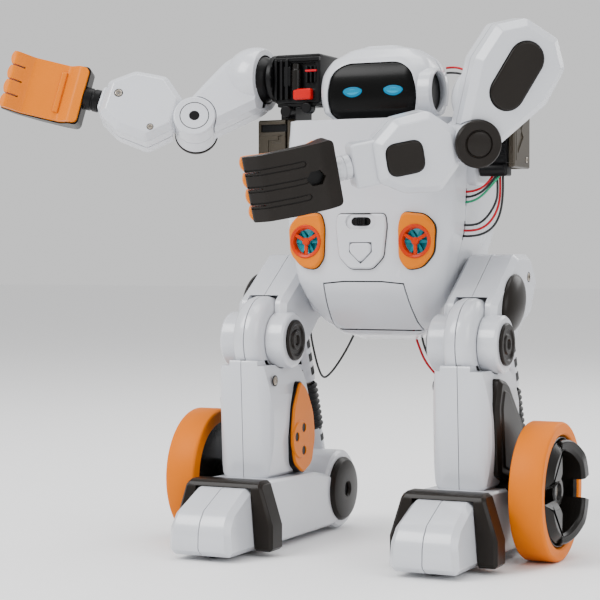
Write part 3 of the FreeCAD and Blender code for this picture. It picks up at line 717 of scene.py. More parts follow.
def torso():
    """The two torso shells with the battery door, chest controls, lamps and shoulder yokes."""
    front_space = cuboid(-80, 80, -40, SPLIT_Y - 0.25, 100, 300)
    door_space = block(DOOR_OUTLINE, "Y", -30, SPLIT_Y - 1)
    gap_space = block(inset_outline(DOOR_OUTLINE, -0.8), "Y", -30, SPLIT_Y - 1)
    front = carve(torso_skin(), [front_space], "INTERSECT")
    door = front.copy()
    door.data = front.data.copy()
    bpy.context.scene.collection.objects.link(door)
    add("battery_door_panel", door, "battery_door", WHITE, 0.35, within=[door_space], nodes=["battery_door"])
    cuts = [gap_space, block(rectangle(-6.5, 6.5, SLIDER_Z - 2.6, SLIDER_Z + 2.6), "Y", -20, -8)]
    cuts.append(block(inset_outline(BUTTON_OUTLINE, -0.4), "Y", -20, -8))
    cuts += [block(arc(9.0, (sign * LAMP_X, LAMP_Z)), "Y", -20, -8) for sign in (1, -1)]
    add("torso_front", front, "torso", WHITE, 0.3, cuts=cuts, nodes=["torso_front_shell"])
    rear_space = cuboid(-80, 80, SPLIT_Y + 0.25, 120, 100, 300)
    add("torso_rear", torso_skin(), "torso", WHITE, 0.3, within=[rear_space], nodes=["torso_rear_shell"])
    # painted shade: a black sheet inside the seam between the shells stands for the shade in the gap
    seam_sections = [section for section in TORSO_SECTIONS if 126 < section[0] < 250]
    seam_space = cuboid(-80, 80, SPLIT_Y - 1.5, SPLIT_Y + 1.5, 100, 300)
    slot = rectangle(40, 60, SPLIT_Y - 3, SPLIT_Y + 3)
    cuts = [block(slot, "Z", low, high) for low, high in ((181, 194), (201, 213))]
    cuts += [lofted(seam_sections, 2.2), rod(13.2, -60, 60, "X", HIP)]
    add("torso_seam_liner", lofted(seam_sections, 0.9), "torso", BLACK, 0, within=[seam_space], cuts=cuts)
    # painted shade: a black sheet round the battery door stands for the shade in the gap round it
    shade_sheet = carve(lofted(TORSO_SECTIONS, 0.9), [lofted(TORSO_SECTIONS, 2.0)])
    hole = block(inset_outline(DOOR_OUTLINE, -0.1), "Y", -30, 120)
    frame_space = block(rectangle(-29, 29, 133, 160), "Y", -30, SPLIT_Y - 1.2)
    add("door_gap_painted_shade", shade_sheet, "torso", BLACK, 0, cuts=[hole], within=[frame_space])
    chest_controls()
    lamps()

    for side, place in PLACES:
        inside = lofted(HOLLOW_SECTIONS, WALL)
        outline = soften(rectangle(17, 50, 214, 255.5), 3.5)
        yoke = slab(outline, "X", [(44, 0), (58.6, 0), (60, 1.4)], place)
        add(f"{side}_yoke", yoke, "torso", WHITE, 0.4, cuts=[inside])
        profile = [(36, 13), (48.6, 13), (49.6, 12), (49.6, 9.4), (36, 9.4)]
        add(f"{side}_hip_hub", ring(profile, "X", HIP, place), "torso", WHITE, 0.3)
    for index, (x, z) in enumerate(((-34, 238), (34, 238), (-34, 168), (34, 168))):
        screw(f"back_screw_{index}", (x, 78.9, z), (0, 1, 0), 2.6, "torso")
    # painted shade: the back vents are black capsules standing for the shade inside the slots
    for index in range(6):
        z = 186.0 + 5.0 * index
        vent = block(capsule(-14, 14, z, 1.1), "Y", 78.6, 79.95)
        add(f"back_vent_{index}", vent, "torso", BLACK, 0)


# ---- head

HEAD_SECTIONS = smooth_sections([
    (254.0, 30.0, 3.0, 38.0, 12.0),
    (258.0, 34.5, 0.0, 41.0, 13.0),
    (268.0, 36.5, -1.5, 42.0, 14.0),
    (280.0, 35.5, -1.0, 42.0, 14.0),
    (289.0, 30.5, 3.0, 39.5, 13.0),
    (295.0, 21.0, 9.0, 34.0, 11.0),
    (297.5, 11.0, 14.0, 29.0, 7.0),
], 6)
WINDOW = [(-26.5, 253), (26.5, 253), (29, 268), (25.5, 281), (17, 286.5), (-17, 286.5), (-25.5, 281),
          (-29, 268)]
EYE_OUTLINE = [(-5.6, 0.2), (-4.2, 2.0), (-1.0, 3.0), (2.8, 2.8), (5.6, 1.2), (5.0, -1.0), (2.4, -2.8),
               (-1.0, -3.2), (-3.8, -2.0)]


def head():
    """The helmet with its visor, eyes and left ear ring."""
    window = soften(WINDOW, 7.0, 8)
    inner = [section for section in HEAD_SECTIONS if 256 < section[0] < 290]
    helmet = carve(lofted(HEAD_SECTIONS), [lofted(inner, WALL)])
    cuts = [block(window, "Y", -10, 9)]
    cuts.append(rod(EAR_RADIUS, 33.0, 45.0, "X", EAR))
    add("head_helmet", helmet, "head", WHITE, 0.5, cuts=cuts, nodes=["head_shell"])
    visor = carve(lofted(HEAD_SECTIONS, 0.9), [lofted(HEAD_SECTIONS, 3.0)])
    visor_space = block(inset_outline(window, 0.25), "Y", -10, 9)
    add("head_visor", visor, "head", GLOSS, 0.2, within=[visor_space], nodes=["visor"])
    for sign, x, z in ((-1, -11.9, 269.3), (1, 14.2, 269.5)):
        outline = soften([(x - sign * 1.15 * px, z + pz) for px, pz in EYE_OUTLINE], 1.6)
        side = "left" if sign > 0 else "right"
        add(f"{side}_eye", slab(outline, "Y", [(-0.2, 0), (-0.75, 0), (-0.95, 0.5)]), "head", EYE, 0)
        core = slab(inset_outline(outline, 1.3), "Y", [(-0.9, 0), (-1.1, 0.3)])
        add(f"{side}_eye_core", core, "head", EYE_CORE, 0)
    profile = [(30.0, 14.2), (37.2, 14.2), (38.5, 13.2), (38.5, 12.2), (37.6, EAR_RADIUS), (30.0, EAR_RADIUS)]
    add("ear_ring", ring(profile, "X", EAR), "head", WHITE, 0.4, cuts=[lofted(inner, WALL)])
    disc = [(32.6, EAR_RADIUS), (34.8, EAR_RADIUS - 0.1), (34.4, 9.0), (35.0, 8.4), (35.0, 0.3)]
    add("ear_disc", lathe(disc, "X", EAR), "head", GLOSS, 0.2)
    band_space = cuboid(-60, 60, 24, 34, 250, 297.1)
    band = carve(lofted(HEAD_SECTIONS, -0.6), [band_space], "INTERSECT")
    cuts = [cuboid(-60, 60, 20, 40, 250, 262), lofted(inner, WALL)]
    add("head_band", band, "head", WHITE, 0.5, cuts=cuts)
    neck = [(246.5, 8.6), (250.5, NECK_RADIUS), (253.0, NECK_RADIUS), (256.5, NECK_RADIUS)]
    add("head_neck", lathe(neck, "Z", (0, HEAD_AXIS_Y)), "head", BLACK, 0.2)


# ---- legs

THIGH_OUTLINE = [(26, 173.5), (51, 173.5), (64, 157.5), (52, 137), (36, 131), (14, 113), (-16, 128),
                 (-13, 146)]
SHIN_OUTLINE = [(-37, 112), (-33, 40), (25, 40), (27, 90), (20, 104), (8, 112)]
FOOT_OUTLINE = [(-44, 4), (-44, 42), (24, 40), (46, 36), (58, 6), (52, 4)]
TOE_OUTLINE = [(-88, 3), (-90, 8), (-89.5, 20), (-83, 28.5), (-62, 38.5), (-50, 40), (-50, 3)]
TOE_FACE = [(47, 2), (88, 2), (84.5, 45), (50.5, 45)]
TRIM_OUTLINE = [(-60, 3.2), (-60, 40), (-57, 43), (-44, 43), (-44, 3.2)]
TRIM_FACE = [(36, 2), (99, 2), (99, 18), (90.5, 45), (44.5, 45), (36, 18)]
LEAF_OUTLINE = [(4, 97.5), (13, 92), (22, 78), (25, 62), (20, 46), (8, 41), (-4, 48), (-8, 64), (-5, 82)]
LEAF_HOLES = [(6.6, 68.9), (-2.9, 64.0), (6.6, 55.1)]
LEAF_BOSS = (3.0, 62.0)
OUTER_PANEL_OUTLINE = [(-20, 104), (-6, 101), (20, 76), (19, 62), (-5, 44), (-21, 49), (-26, 88)]
THIGH_X = (50.0, 82.0)
SHIN_X = (50.0, 85.0)
FORK_X = (57.0, 75.0)
KNEE_DISC_RADIUS = 26.0
KNEE_BOSS_RADIUS = 16.5
HEEL_RADIUS = 24.5
STRUT_PIN_RADIUS = 2.45
BOOT_ENDS = (34.0, 64.0)
BOOT_STEPS = 7
DOME_CENTRE = (15.0, 145.0)
DOME_HALF_AXES = (20.0, 15.0)
DOME_TILT = 40
SEAM = 0.2


def halves(fit, name, outline, ends, edge, place, cuts, soft, within=tuple):
    """A leg shell in two halves that meet in a fine line, over a black sheet that paints the shade in the
    gap; edge lists (depth, inset).
    """
    low, high = ends
    middle = (low + high) / 2
    first = [(low + depth, inset) for depth, inset in edge] + [(middle - SEAM, 0)]
    second = [(middle + SEAM, 0)] + [(high - depth, inset) for depth, inset in reversed(edge)]
    fit(name + "_a", slab(outline, "X", first, place, soft), WHITE, 0.6, name, cuts=cuts(), within=within())
    fit(name + "_b", slab(outline, "X", second, place, soft), WHITE, 0.6, cuts=cuts(), within=within())
    # painted shade: the black sheet between the halves stands for the shade in the seam
    shade_sheet = slab(inset_outline(outline, 0.7), "X", [(middle - 1.5, 0), (middle + 1.5, 0)], place, soft)
    fit(name + "_seam", shade_sheet, BLACK, 0, cuts=cuts())


def strut_direction():
    """The direction up a leg's strut, from its lower end to its pin."""
    return Vector((0, STRUT_TOP[0] - STRUT_FOOT[0], STRUT_TOP[1] - STRUT_FOOT[1])).normalized()


def strut_matrix(place):
    """A matrix whose Z runs up the strut from its lower end."""
    along = strut_direction()
    side = Vector((1, 0, 0))
    turn = Matrix((side, along.cross(side), along)).transposed().to_4x4()
    return place @ Matrix.Translation((LEG_X, *STRUT_FOOT)) @ turn


def dome(place):
    """The oval dome on the thigh's outer face, in level rings that shrink like a sphere's."""
    tilt = math.radians(DOME_TILT)
    loops = []
    for step in range(13):
        angle = math.radians(7.2 * step)
        x = THIGH_X[1] - 0.2 + 6.6 * math.sin(angle)
        loop = []
        for y, z in arc(max(0.04, math.cos(angle)), steps=48):
            y, z = DOME_HALF_AXES[0] * y, DOME_HALF_AXES[1] * z
            across, up = y * math.cos(tilt) - z * math.sin(tilt), y * math.sin(tilt) + z * math.cos(tilt)
            loop.append((x, DOME_CENTRE[0] + across, DOME_CENTRE[1] + up))
        loops.append(loop)
    return stacked(loops, place)


def thigh(side, place):
    """The forked thigh with its dome and the knee's ring caps."""
    body = f"{side}_thigh"
    fit = fitter(side, body)

    def cuts():
        gap = KNEE_DISC_RADIUS + 0.6
        result = [rod(gap, FORK_X[0] - 0.5, FORK_X[1] + 0.5, "X", KNEE, place)]
        result.append(rod(8.6, LEG_X - 6.5, LEG_X + 6.5, "X", STRUT_TOP, place))
        for angle in (-10, 0, 10):
            swing = turned(Matrix.Translation((LEG_X, *STRUT_TOP)), angle, "X")
            swing = place @ swing @ Matrix.Translation((-LEG_X, -STRUT_TOP[0], -STRUT_TOP[1]))
            result.append(rod(7.7, 75, 108, "Z", place=swing @ strut_matrix(IDENTITY)))
        return result

    halves(fit, "thigh_shell", THIGH_OUTLINE, THIGH_X, [(0, 3.2), (3.2, 0)], place, cuts, 2.5)
    for name, face, other, out in (("inner", 45.0, FORK_X[0], 1.0), ("outer", 87.0, FORK_X[1], -1.0)):
        profile = [(face, 15.3), (face + out * 1.2, KNEE_BOSS_RADIUS), (other - out * 0.5, KNEE_BOSS_RADIUS)]
        fit(f"knee_boss_{name}", lathe(profile, "X", KNEE, place), WHITE, 0.4)
        rings = [(0.2, 12.2), (-1.3, 12.2), (-1.9, 11.4), (-1.9, 9.4), (-0.9, 8.6), (-0.9, 6.2), (-1.9, 5.4),
                 (-1.9, 3.4), (-0.9, 2.8)]
        rings = [(face + out * depth, radius) for depth, radius in rings]
        fit(f"knee_cap_{name}", lathe(rings, "X", KNEE, place), DARK, 0.2, "thigh_caps")
    fit("thigh_dome", dome(place), DARK, 0)
    # painted shadow: the hip boss is white plastic, coloured black here for the shadow between torso and
    # thigh
    boss = [(40, 8.4), (40.6, HIP_BOSS_RADIUS), (51, HIP_BOSS_RADIUS)]
    fit("hip_boss", lathe(boss, "X", HIP, place), BLACK, 0.2)
    screw(f"{side}_thigh_screw_inner", (THIGH_X[0], 38, 163), (-1, 0, 0), 2.4, body, place)
    screw(f"{side}_thigh_screw_outer", (THIGH_X[1], 46, 160), (1, 0, 0), 2.4, body, place)
    pin = rod(STRUT_PIN_RADIUS, 57, 78, "X", STRUT_TOP, place)
    fit("strut_pin", pin, STEEL, 0.2)


def leaf_panel(fit, place):
    """The orange leaf on the shin's inner face, with a raised boss and three round holes."""
    leaf = soften(LEAF_OUTLINE, 4)
    # painted shade: a black sheet round the leaf stands for the shade in the gap round it
    fit("leaf_gap", slab(inset_outline(leaf, -0.7), "X", [(54.0, 0), (48.9, 0)], place), BLACK, 0)
    panel = slab(leaf, "X", [(54.0, 0), (48.2, 0), (47.4, 0.8)], place)
    boss = lathe([(48.4, 11.5), (47.2, 11.5), (46.6, 10.8)], "X", LEAF_BOSS, place)
    for name, shown, depth, node in (("panel", panel, 48.6, "shin_inner_panel"), ("boss", boss, 50.0, "")):
        holes = [rod(2.8, 44.0, depth, "X", point, place, 32) for point in LEAF_HOLES]
        fit(f"leaf_{name}", shown, ORANGE, 0.3, node, cuts=holes)
    # painted shade: black plugs in the three holes stand for the shade inside them
    for index, point in enumerate(LEAF_HOLES):
        fit(f"leaf_hole_{index}", rod(2.75, 48.58, 47.1, "X", point, place, 32), BLACK, 0)


def shin(side, place):
    """The shin shell with the knee disc, the inner leaf panel and the outer dark panel."""
    body = f"{side}_lower_leg"
    fit = fitter(side, body)

    def cuts():
        result = [rod(KNEE_BOSS_RADIUS + 0.6, 40, 95, "X", KNEE, place)]
        for low, high in ((40, FORK_X[0]), (FORK_X[1], 95)):
            result.append(block(rectangle(-40, 60, 108, 140), "X", low, high, place))
        return result

    def barrel():
        heights = [35 + 4 * step for step in range(20)]
        spans = [(z, 17.6 - 3.4 * ((z - 73) / 34) ** 2) for z in heights]
        left = [(LEG_X - half, z) for z, half in spans]
        right = [(LEG_X + half, z) for z, half in reversed(spans)]
        return [block(left + right, "Y", -60, 60, place)]

    edge = [(0, 7.0), (1.5, 4.2), (4.0, 1.6), (8.0, 0)]
    halves(fit, "shin_shell", SHIN_OUTLINE, SHIN_X, edge, place, cuts, 3.0, barrel)
    drops = [(0.0, 6.0), (1.0, 3.0), (3.0, 1.0), (6.0, 0.0), (8.8, 0.0)]
    for name, face, inward in (("a", FORK_X[0], 1), ("b", FORK_X[1], -1)):
        profile = [(face + inward * depth, KNEE_DISC_RADIUS - drop) for depth, drop in drops]
        fit(f"knee_disc_{name}", lathe(profile, "X", KNEE, place), WHITE, 0.4)
    # painted shade: a black disc between the knee discs stands for the shade in the gap
    fit("knee_disc_seam", rod(25.2, 65.0, 67.0, "X", KNEE, place), BLACK, 0)
    leaf_panel(fit, place)
    panel = slab(OUTER_PANEL_OUTLINE, "X", [(80.5, 0), (86.1, 0), (88.0, 2.4)], place, 3.0)
    fit("outer_panel", panel, DARK, 0.4, "shin_outer_panel")
    ridge = slab(inset_outline(OUTER_PANEL_OUTLINE, 5.5), "X", [(87.7, 0), (88.8, 1.2)], place, 2.0)
    fit("outer_ridge", ridge, DARK, 0.3)
    screw(f"{side}_shin_screw", (50.1, -26.0, 99.0), (-1, 0, 0), 2.6, body, place)


def windows(fit, name, place, distances, half_width, half_length, depths):
    """Windows round a strut's tube, four at each distance along it, painted black as the shade inside them.
    """
    for index, distance in enumerate(distances):
        outline = rectangle(-half_width, half_width, distance - half_length, distance + half_length)
        for turn in range(4):
            # painted shade: black patches stand for the shade inside the windows
            window = block(outline, "Y", *depths, turned(place, 90 * turn, "Z"))
            fit(f"{name}_{index}_{turn}", window, BLACK, 0)


def strut(side, place):
    """The strut's lower sleeve and ribbed boot, and its upper tube with the rod and eye."""
    fit = fitter(side, f"{side}_lower_leg")
    along = strut_matrix(place)
    sleeve = ring([(12.0, 4.1), (12.0, 5.5), (49.2, 5.5), (50.0, 4.9), (50.0, 4.1)], "Z", place=along)
    fit("strut_sleeve", sleeve, WHITE, 0.2, "strut_lower")
    windows(fit, "sleeve_window", along, (27.0, 35.0), 1.8, 2.2, (-5.6, -5.0))
    low, high = BOOT_ENDS
    coils = []
    for step in range(8 * BOOT_STEPS + 1):
        position = low + (high - low) * step / (8 * BOOT_STEPS)
        coils.append((position, 6.2 - 0.75 * math.cos(math.tau * step / BOOT_STEPS)))
    boot = ring([(low, 5.65)] + coils + [(high, 5.65)], "Z", place=along)
    boot = fit("strut_boot", boot, RUBBER, 0, "strut_spring")
    axis = strut_direction()
    anchor = Vector((0, *STRUT_FOOT)) + axis * low
    anchor.x = LEG_X if side == "left" else -LEG_X
    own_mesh(boot)

    fit = fitter(side, f"{side}_strut_upper")

    def pin_hole():
        return [rod(STRUT_PIN_RADIUS + 0.1, 50, 90, "X", STRUT_TOP, place)]

    eye = lathe([(62.5, 6.4), (63.1, 7.0), (71.9, 7.0), (72.5, 6.4)], "X", STRUT_TOP, place)
    fit("strut_eye", eye, WHITE, 0.2, "strut_upper", cuts=pin_hole())
    tube = lathe([(66, 5.3), (66.7, 6.0), (103, 6.0)], "Z", place=along)
    fit("strut_tube", tube, WHITE, 0.2, cuts=pin_hole())
    fit("strut_rod", rod(3.1, 40, 68, "Z", place=along), STEEL, 0.2)
    windows(fit, "tube_window", along, (73.0, 82.0, 91.0), 1.9, 2.6, (-6.1, -5.4))


def foot(side, place):
    """The foot with its heel drum, toe cap and dark toe frame."""
    fit = fitter(side, f"{side}_lower_leg")
    shell = slab(FOOT_OUTLINE, "X", [(46, 1.6), (47.6, 0), (86.4, 0), (88, 1.6)], place, 2.5)
    fit("foot_shell", shell, WHITE, 0.5, "foot_body")
    drops = [(47, 1.5), (48.5, 0), (66.4, 0), (66.7, 0.4), (67.0, 0.4), (67.3, 0), (86.5, 0), (88, 1.5)]
    drum = [(x, HEEL_RADIUS - drop) for x, drop in drops]
    fit("heel_drum", lathe(drum, "X", HEEL, place, steps=96), WHITE, 0.3)
    cap = [(47.6, 20.0), (45.6, 20.0), (43.6, 18.2), (42.6, 14.5), (42.4, 5.0), (44.0, 4.0), (47.6, 4.0)]
    fit("heel_cap_inner", ring(cap, "X", HEEL, place, 96), DARK, 0.4, "heel_caps")
    # painted shade: a black plug in the cap's hole stands for the shade inside it
    fit("heel_cap_hole", rod(4.2, 47.6, 44.6, "X", HEEL, place), BLACK, 0)
    fit("heel_cap_outer", lathe([(87.4, 20.0), (89.2, 20.0), (90.0, 19.0)], "X", HEEL, place), DARK, 0.3)
    axle = (0, WHEEL_RADIUS)
    fit("axle_boss", lathe([(80, 9), (96.4, 9), (97.2, 8.2)], "X", axle, place), BLACK, 0.3)
    fit("axle", rod(PIN_RADIUS, 90, 113.5, "X", axle, place), STEEL, 0)

    def toe(outline, face, low=30, high=105):
        return carve(block(outline, "X", low, high, place), [block(face, "Y", -95, -40, place)], "INTERSECT")

    cap = facet(toe(TOE_OUTLINE, TOE_FACE), 3.2)
    groove = block(rectangle(LEG_X - SEAM, LEG_X + SEAM, 0, 50), "Y", -95, -45, place)
    fit("toe_shell", cap, WHITE, 0.35, "toe_cap", cuts=[groove])
    # painted shade: a black core behind the groove between the toe halves stands for the shade in it
    core = toe(inset_outline(TOE_OUTLINE, 2.2), inset_outline(TOE_FACE, 2.2), LEG_X - 2, LEG_X + 2)
    fit("toe_seam", core, BLACK, 0)
    trim = facet(toe(TRIM_OUTLINE, TRIM_FACE), 1.8)
    hollow = toe(inset_outline(TOE_OUTLINE, -0.3), inset_outline(TOE_FACE, -0.3))
    fit("toe_frame", trim, DARK, 0.35, "toe_trim", cuts=[hollow])
    fit("toe_caster", ball((LEG_X, -72.0, 4.0), 4.0, place), BLACK, 0, "foot_glides")
    glide = lathe([(0.0, 6.2), (0.8, 7.0), (8.0, 7.0)], "Z", (LEG_X, HEEL[0]), place)
    fit("heel_glide", glide, BLACK, 0.3)


def rim_ridge(flip, spin):
    """A ridge that curls along a quarter of the hub's rim, rising as it goes; flip turns it over."""
    loops = []
    for step in range(15):
        share = step / 14
        angle = math.radians(100 - 86 * share)
        height = 1.5 + 6.0 * min(1.0, share * 1.5)
        inner = 29.6 - (6.0 + 3.0 * share)
        section = [(29.6, -8.5), (29.6, height - 1.2), (28.4, height), (inner + 1.5, height - 0.4),
                   (inner, height - 2.0), (inner - 1.0, -8.5)]
        loops.append([(WHEEL_OUTER_X + x, radius * math.cos(angle), flip * radius * math.sin(angle))
                      for radius, x in section])
    return stacked(loops, spin)


def wheel(side, place):
    """The tyre and the black hub with two wedges, two rim ridges and a recessed centre."""
    fit = fitter(side, f"{side}_wheel")
    centre = (0.0, WHEEL_RADIUS)
    inner, outer = WHEEL_INNER_X, WHEEL_OUTER_X
    tyre = [(inner, RIM_RADIUS), (inner, 38.0), (inner + 0.6, 39.0), (inner + 1.8, 39.5), (outer - 1.8, 39.5),
            (outer - 0.6, 39.0), (outer, 38.0), (outer, 33.0), (outer - 0.8, 32.0), (outer - 5, RIM_RADIUS)]
    fit("wheel_tyre", ring(tyre, "X", centre, place, 144), TYRE, 0.5, "tyre", smooth=50)
    disc = lathe([(inner + 1.5, 31.4), (outer - 9.0, 31.4), (outer - 8.0, 30.6)], "X", centre, place, 96)
    hole = rod(PIN_HOLE, 90, 116, "X", centre, place)
    fit("hub_disc", disc, HUB, 0.3, "wheel_hub", cuts=[hole])
    rim = [(9.0, 31.4), (1.5, 31.4), (0.8, 30.6), (2.4, 29.4), (9.0, 29.0)]
    rim = [(outer - depth, radius) for depth, radius in rim]
    fit("hub_rim", ring(rim, "X", centre, place, 96), HUB, 0.3)
    nave = [(9.0, 9.0), (3.0, 9.0), (2.0, 8.0), (2.0, 5.0), (4.0, 4.2), (4.0, 0.3)]
    nave = [(outer - depth, radius) for depth, radius in nave]
    hole = rod(PIN_HOLE, 90, 113.6, "X", centre, place)
    fit("hub_nave", lathe(nave, "X", centre, place, 48), HUB, 0.3, cuts=[hole])
    spin = place @ Matrix.Translation((0, *centre))
    for name, flip in (("upper", 1), ("lower", -1)):
        wedge = arc(29.0, steps=12, start=98, end=172) + [(-9, 3.6), (-2.5, 9.5)]
        wedge = [(y, flip * z) for y, z in wedge]
        levels = [(outer - 8.5, 0), (outer - 1.5, 0), (outer + 2.2, 4.2)]
        fit(f"hub_wedge_{name}", slab(wedge, "X", levels, spin), HUB, 0.5)
        fit(f"hub_ridge_{name}", rim_ridge(flip, spin), HUB, 0.5)


def legs():
    """Both legs, the right one mirrored."""
    for side, place in PLACES:
        for build in (thigh, shin, strut, foot, wheel):
            build(side, place)


# ---- arms

ARMS = {
    "right": {
        "ball": (-88.0, 25.0, 281.5), "ball_axis": (1, 0, 0), "elbow": (-117.0, -1.0, 253.5),
        "upper_end": (-88.0, 25.0, 281.5), "wrist": (-175.0, -22.0, 268.5),
        "hand_direction": (-27.0, -10.0, 7.0), "palm_direction": (0.36, -0.92, 0.15),
    },
    "left": {
        "ball": (73.0, -3.0, 262.0), "ball_axis": (0, 1, 0), "elbow": (69.0, -21.0, 236.5),
        "upper_end": (90.0, -11.0, 276.0), "wrist": (12.0, -65.0, 221.5),
        "hand_direction": (-23.0, -19.0, -7.0), "palm_direction": (-0.5, 0.85, 0.2),
    },
}
UPPER_OUTLINES = {
    "left": mirrored([(0, -11), (14, -16), (40, -25), (62, -24), (74, -11)]),
    "right": mirrored([(0, -11), (14, -14), (40, -19), (52, -16)]),
}
FOREARM_OUTLINE = [(10, -10), (24, -23), (44, -22), (58, -11), (58, 11), (44, 20), (24, 23), (10, 10)]
HAND_BACK = [(5, 4), (5, -9), (16, -13), (34, -13), (50, -9), (57, -2), (57, 1), (46, -5), (20, -5), (12, 4)]
HAND_PALM = [(12, 4), (20, -5), (46, -5), (57, 1), (59, 4), (54, 6), (44, -1), (21, -1), (14, 7), (5, 7),
             (5, 4)]
ELBOW_RADIUS = 13.0
ELBOW_GAP = 0.175
FINGER_WIDTH = 9.25
HAND_BOLT_X = 20.8


def arm_frames(arm):
    """The matrices of the upper arm, forearm, hand and shoulder ball, and the forearm's length."""
    elbow = Vector(arm["elbow"])
    up = Vector(arm["upper_end"]) - elbow
    along = Vector(arm["wrist"]) - elbow
    axis = up.cross(along).normalized()
    if axis.y > 0:
        axis = -axis
    upper = framed(elbow, up, axis)
    fore = framed(elbow, along, axis)
    hand_place = framed(arm["wrist"], arm["hand_direction"], arm["palm_direction"])
    socket = framed(arm["ball"], arm["ball_axis"], (0, 0, 1))
    return upper, fore, hand_place, socket, along.length


def socket_cuts(socket):
    """The space that an upper arm leaves round its shoulder ball."""
    return [ball((0, 0, 0), SOCKET_RADIUS, socket), rod(60.0, 7.0, 67.0, "X", place=socket)]


def arm_shell(fit, name, outline, low, high, place, soft, cuts, seam_cuts):
    """Two half shells with chamfered outer faces and a fine line between them, over a black sheet that paints
    the shade in the gap.
    """
    back = [(low, 4.0), (low + 4.0, 0), (-SEAM, 0)]
    front = [(SEAM, 0), (high - 4.0, 0), (high, 4.0)]
    fit(name + "_back", slab(outline, "Z", back, place, soft), WHITE, 0.8, name + "_shell", cuts=cuts())
    fit(name + "_front", slab(outline, "Z", front, place, soft), WHITE, 0.8, cuts=cuts())
    # painted shade: the black sheet between the halves stands for the shade in the seam
    shade_sheet = slab(inset_outline(outline, 0.9), "Z", [(-1.5, 0), (1.5, 0)], place, soft)
    fit(name + "_seam", shade_sheet, BLACK, 0, cuts=seam_cuts)


def upper_arm(side, arm):
    """The upper arm: two half shells, the socket cup, the elbow lug and the dark trim."""
    fit = fitter(side, f"{side}_upper_arm")
    upper, _, _, socket, _ = arm_frames(arm)

    def elbow_space():
        return rod(ELBOW_RADIUS + 0.5, -ELBOW_GAP, 30, "Z", place=upper)

    def cuts():
        return [elbow_space()] + socket_cuts(socket)

    soft = 1.6 if side == "left" else 6.0
    seam_cuts = [rod(14.5, -20, 30, "Z", place=upper)] + socket_cuts(socket)
    arm_shell(fit, "upper_arm", UPPER_OUTLINES[side], -12.0, 12.0, upper, soft, cuts, seam_cuts)
    cup = []
    for radius, start, end, steps in ((20.4, 179, 70.0, 24), (SOCKET_RADIUS, 65.3, 179, 20)):
        for step in range(steps + 1):
            angle = math.radians(start + (end - start) * step / steps)
            cup.append((radius * math.cos(angle), radius * math.sin(angle)))
    fit("shoulder_cup", lathe(cup, "X", place=socket), WHITE, 0.5, cuts=[elbow_space()], smooth=50)
    lug = [(-13.0, ELBOW_RADIUS - 0.6), (-12.4, ELBOW_RADIUS), (-0.2, ELBOW_RADIUS)]
    fit("elbow_lug", lathe(lug, "Z", place=upper), WHITE, 0.2)
    fit("elbow_pin", rod(PIN_RADIUS, -12.0, 12.0, "Z", place=upper), STEEL, 0.1)
    if side == "right":
        cap = [(-13.0, 13.5), (-14.7, 13.5), (-15.5, 12.6), (-15.5, 8.0), (-14.9, 7.6), (-14.9, 0.3)]
        fit("elbow_cap", lathe(cap, "Z", place=upper), DARK, 0.3, "upper_arm_trim")
        return
    cap = [(12.9, 3.0), (12.9, 13.5), (15.3, 13.5), (16.2, 12.6), (15.8, 8.0), (15.1, 7.6), (15.1, 7.2),
           (16.3, 6.8), (16.5, 6.0), (16.5, 0.3)]
    fit("elbow_cap", lathe(cap, "Z", place=upper), DARK, 0.3, "upper_arm_trim")
    oval = capsule(23.1, 64.1, 0, 10.0)
    # painted shade: a black sheet round the oval plate stands for the shade in the gap round it
    gap = slab(inset_outline(oval, -0.6), "Z", [(11.5, 0), (12.12, 0)], upper)
    fit("upper_arm_oval_gap", gap, BLACK, 0, cuts=socket_cuts(socket))
    plate = slab(oval, "Z", [(11.0, 0), (12.9, 0), (13.5, 0.8)], upper)
    fit("upper_arm_oval", plate, DARK, 0.4, cuts=socket_cuts(socket))


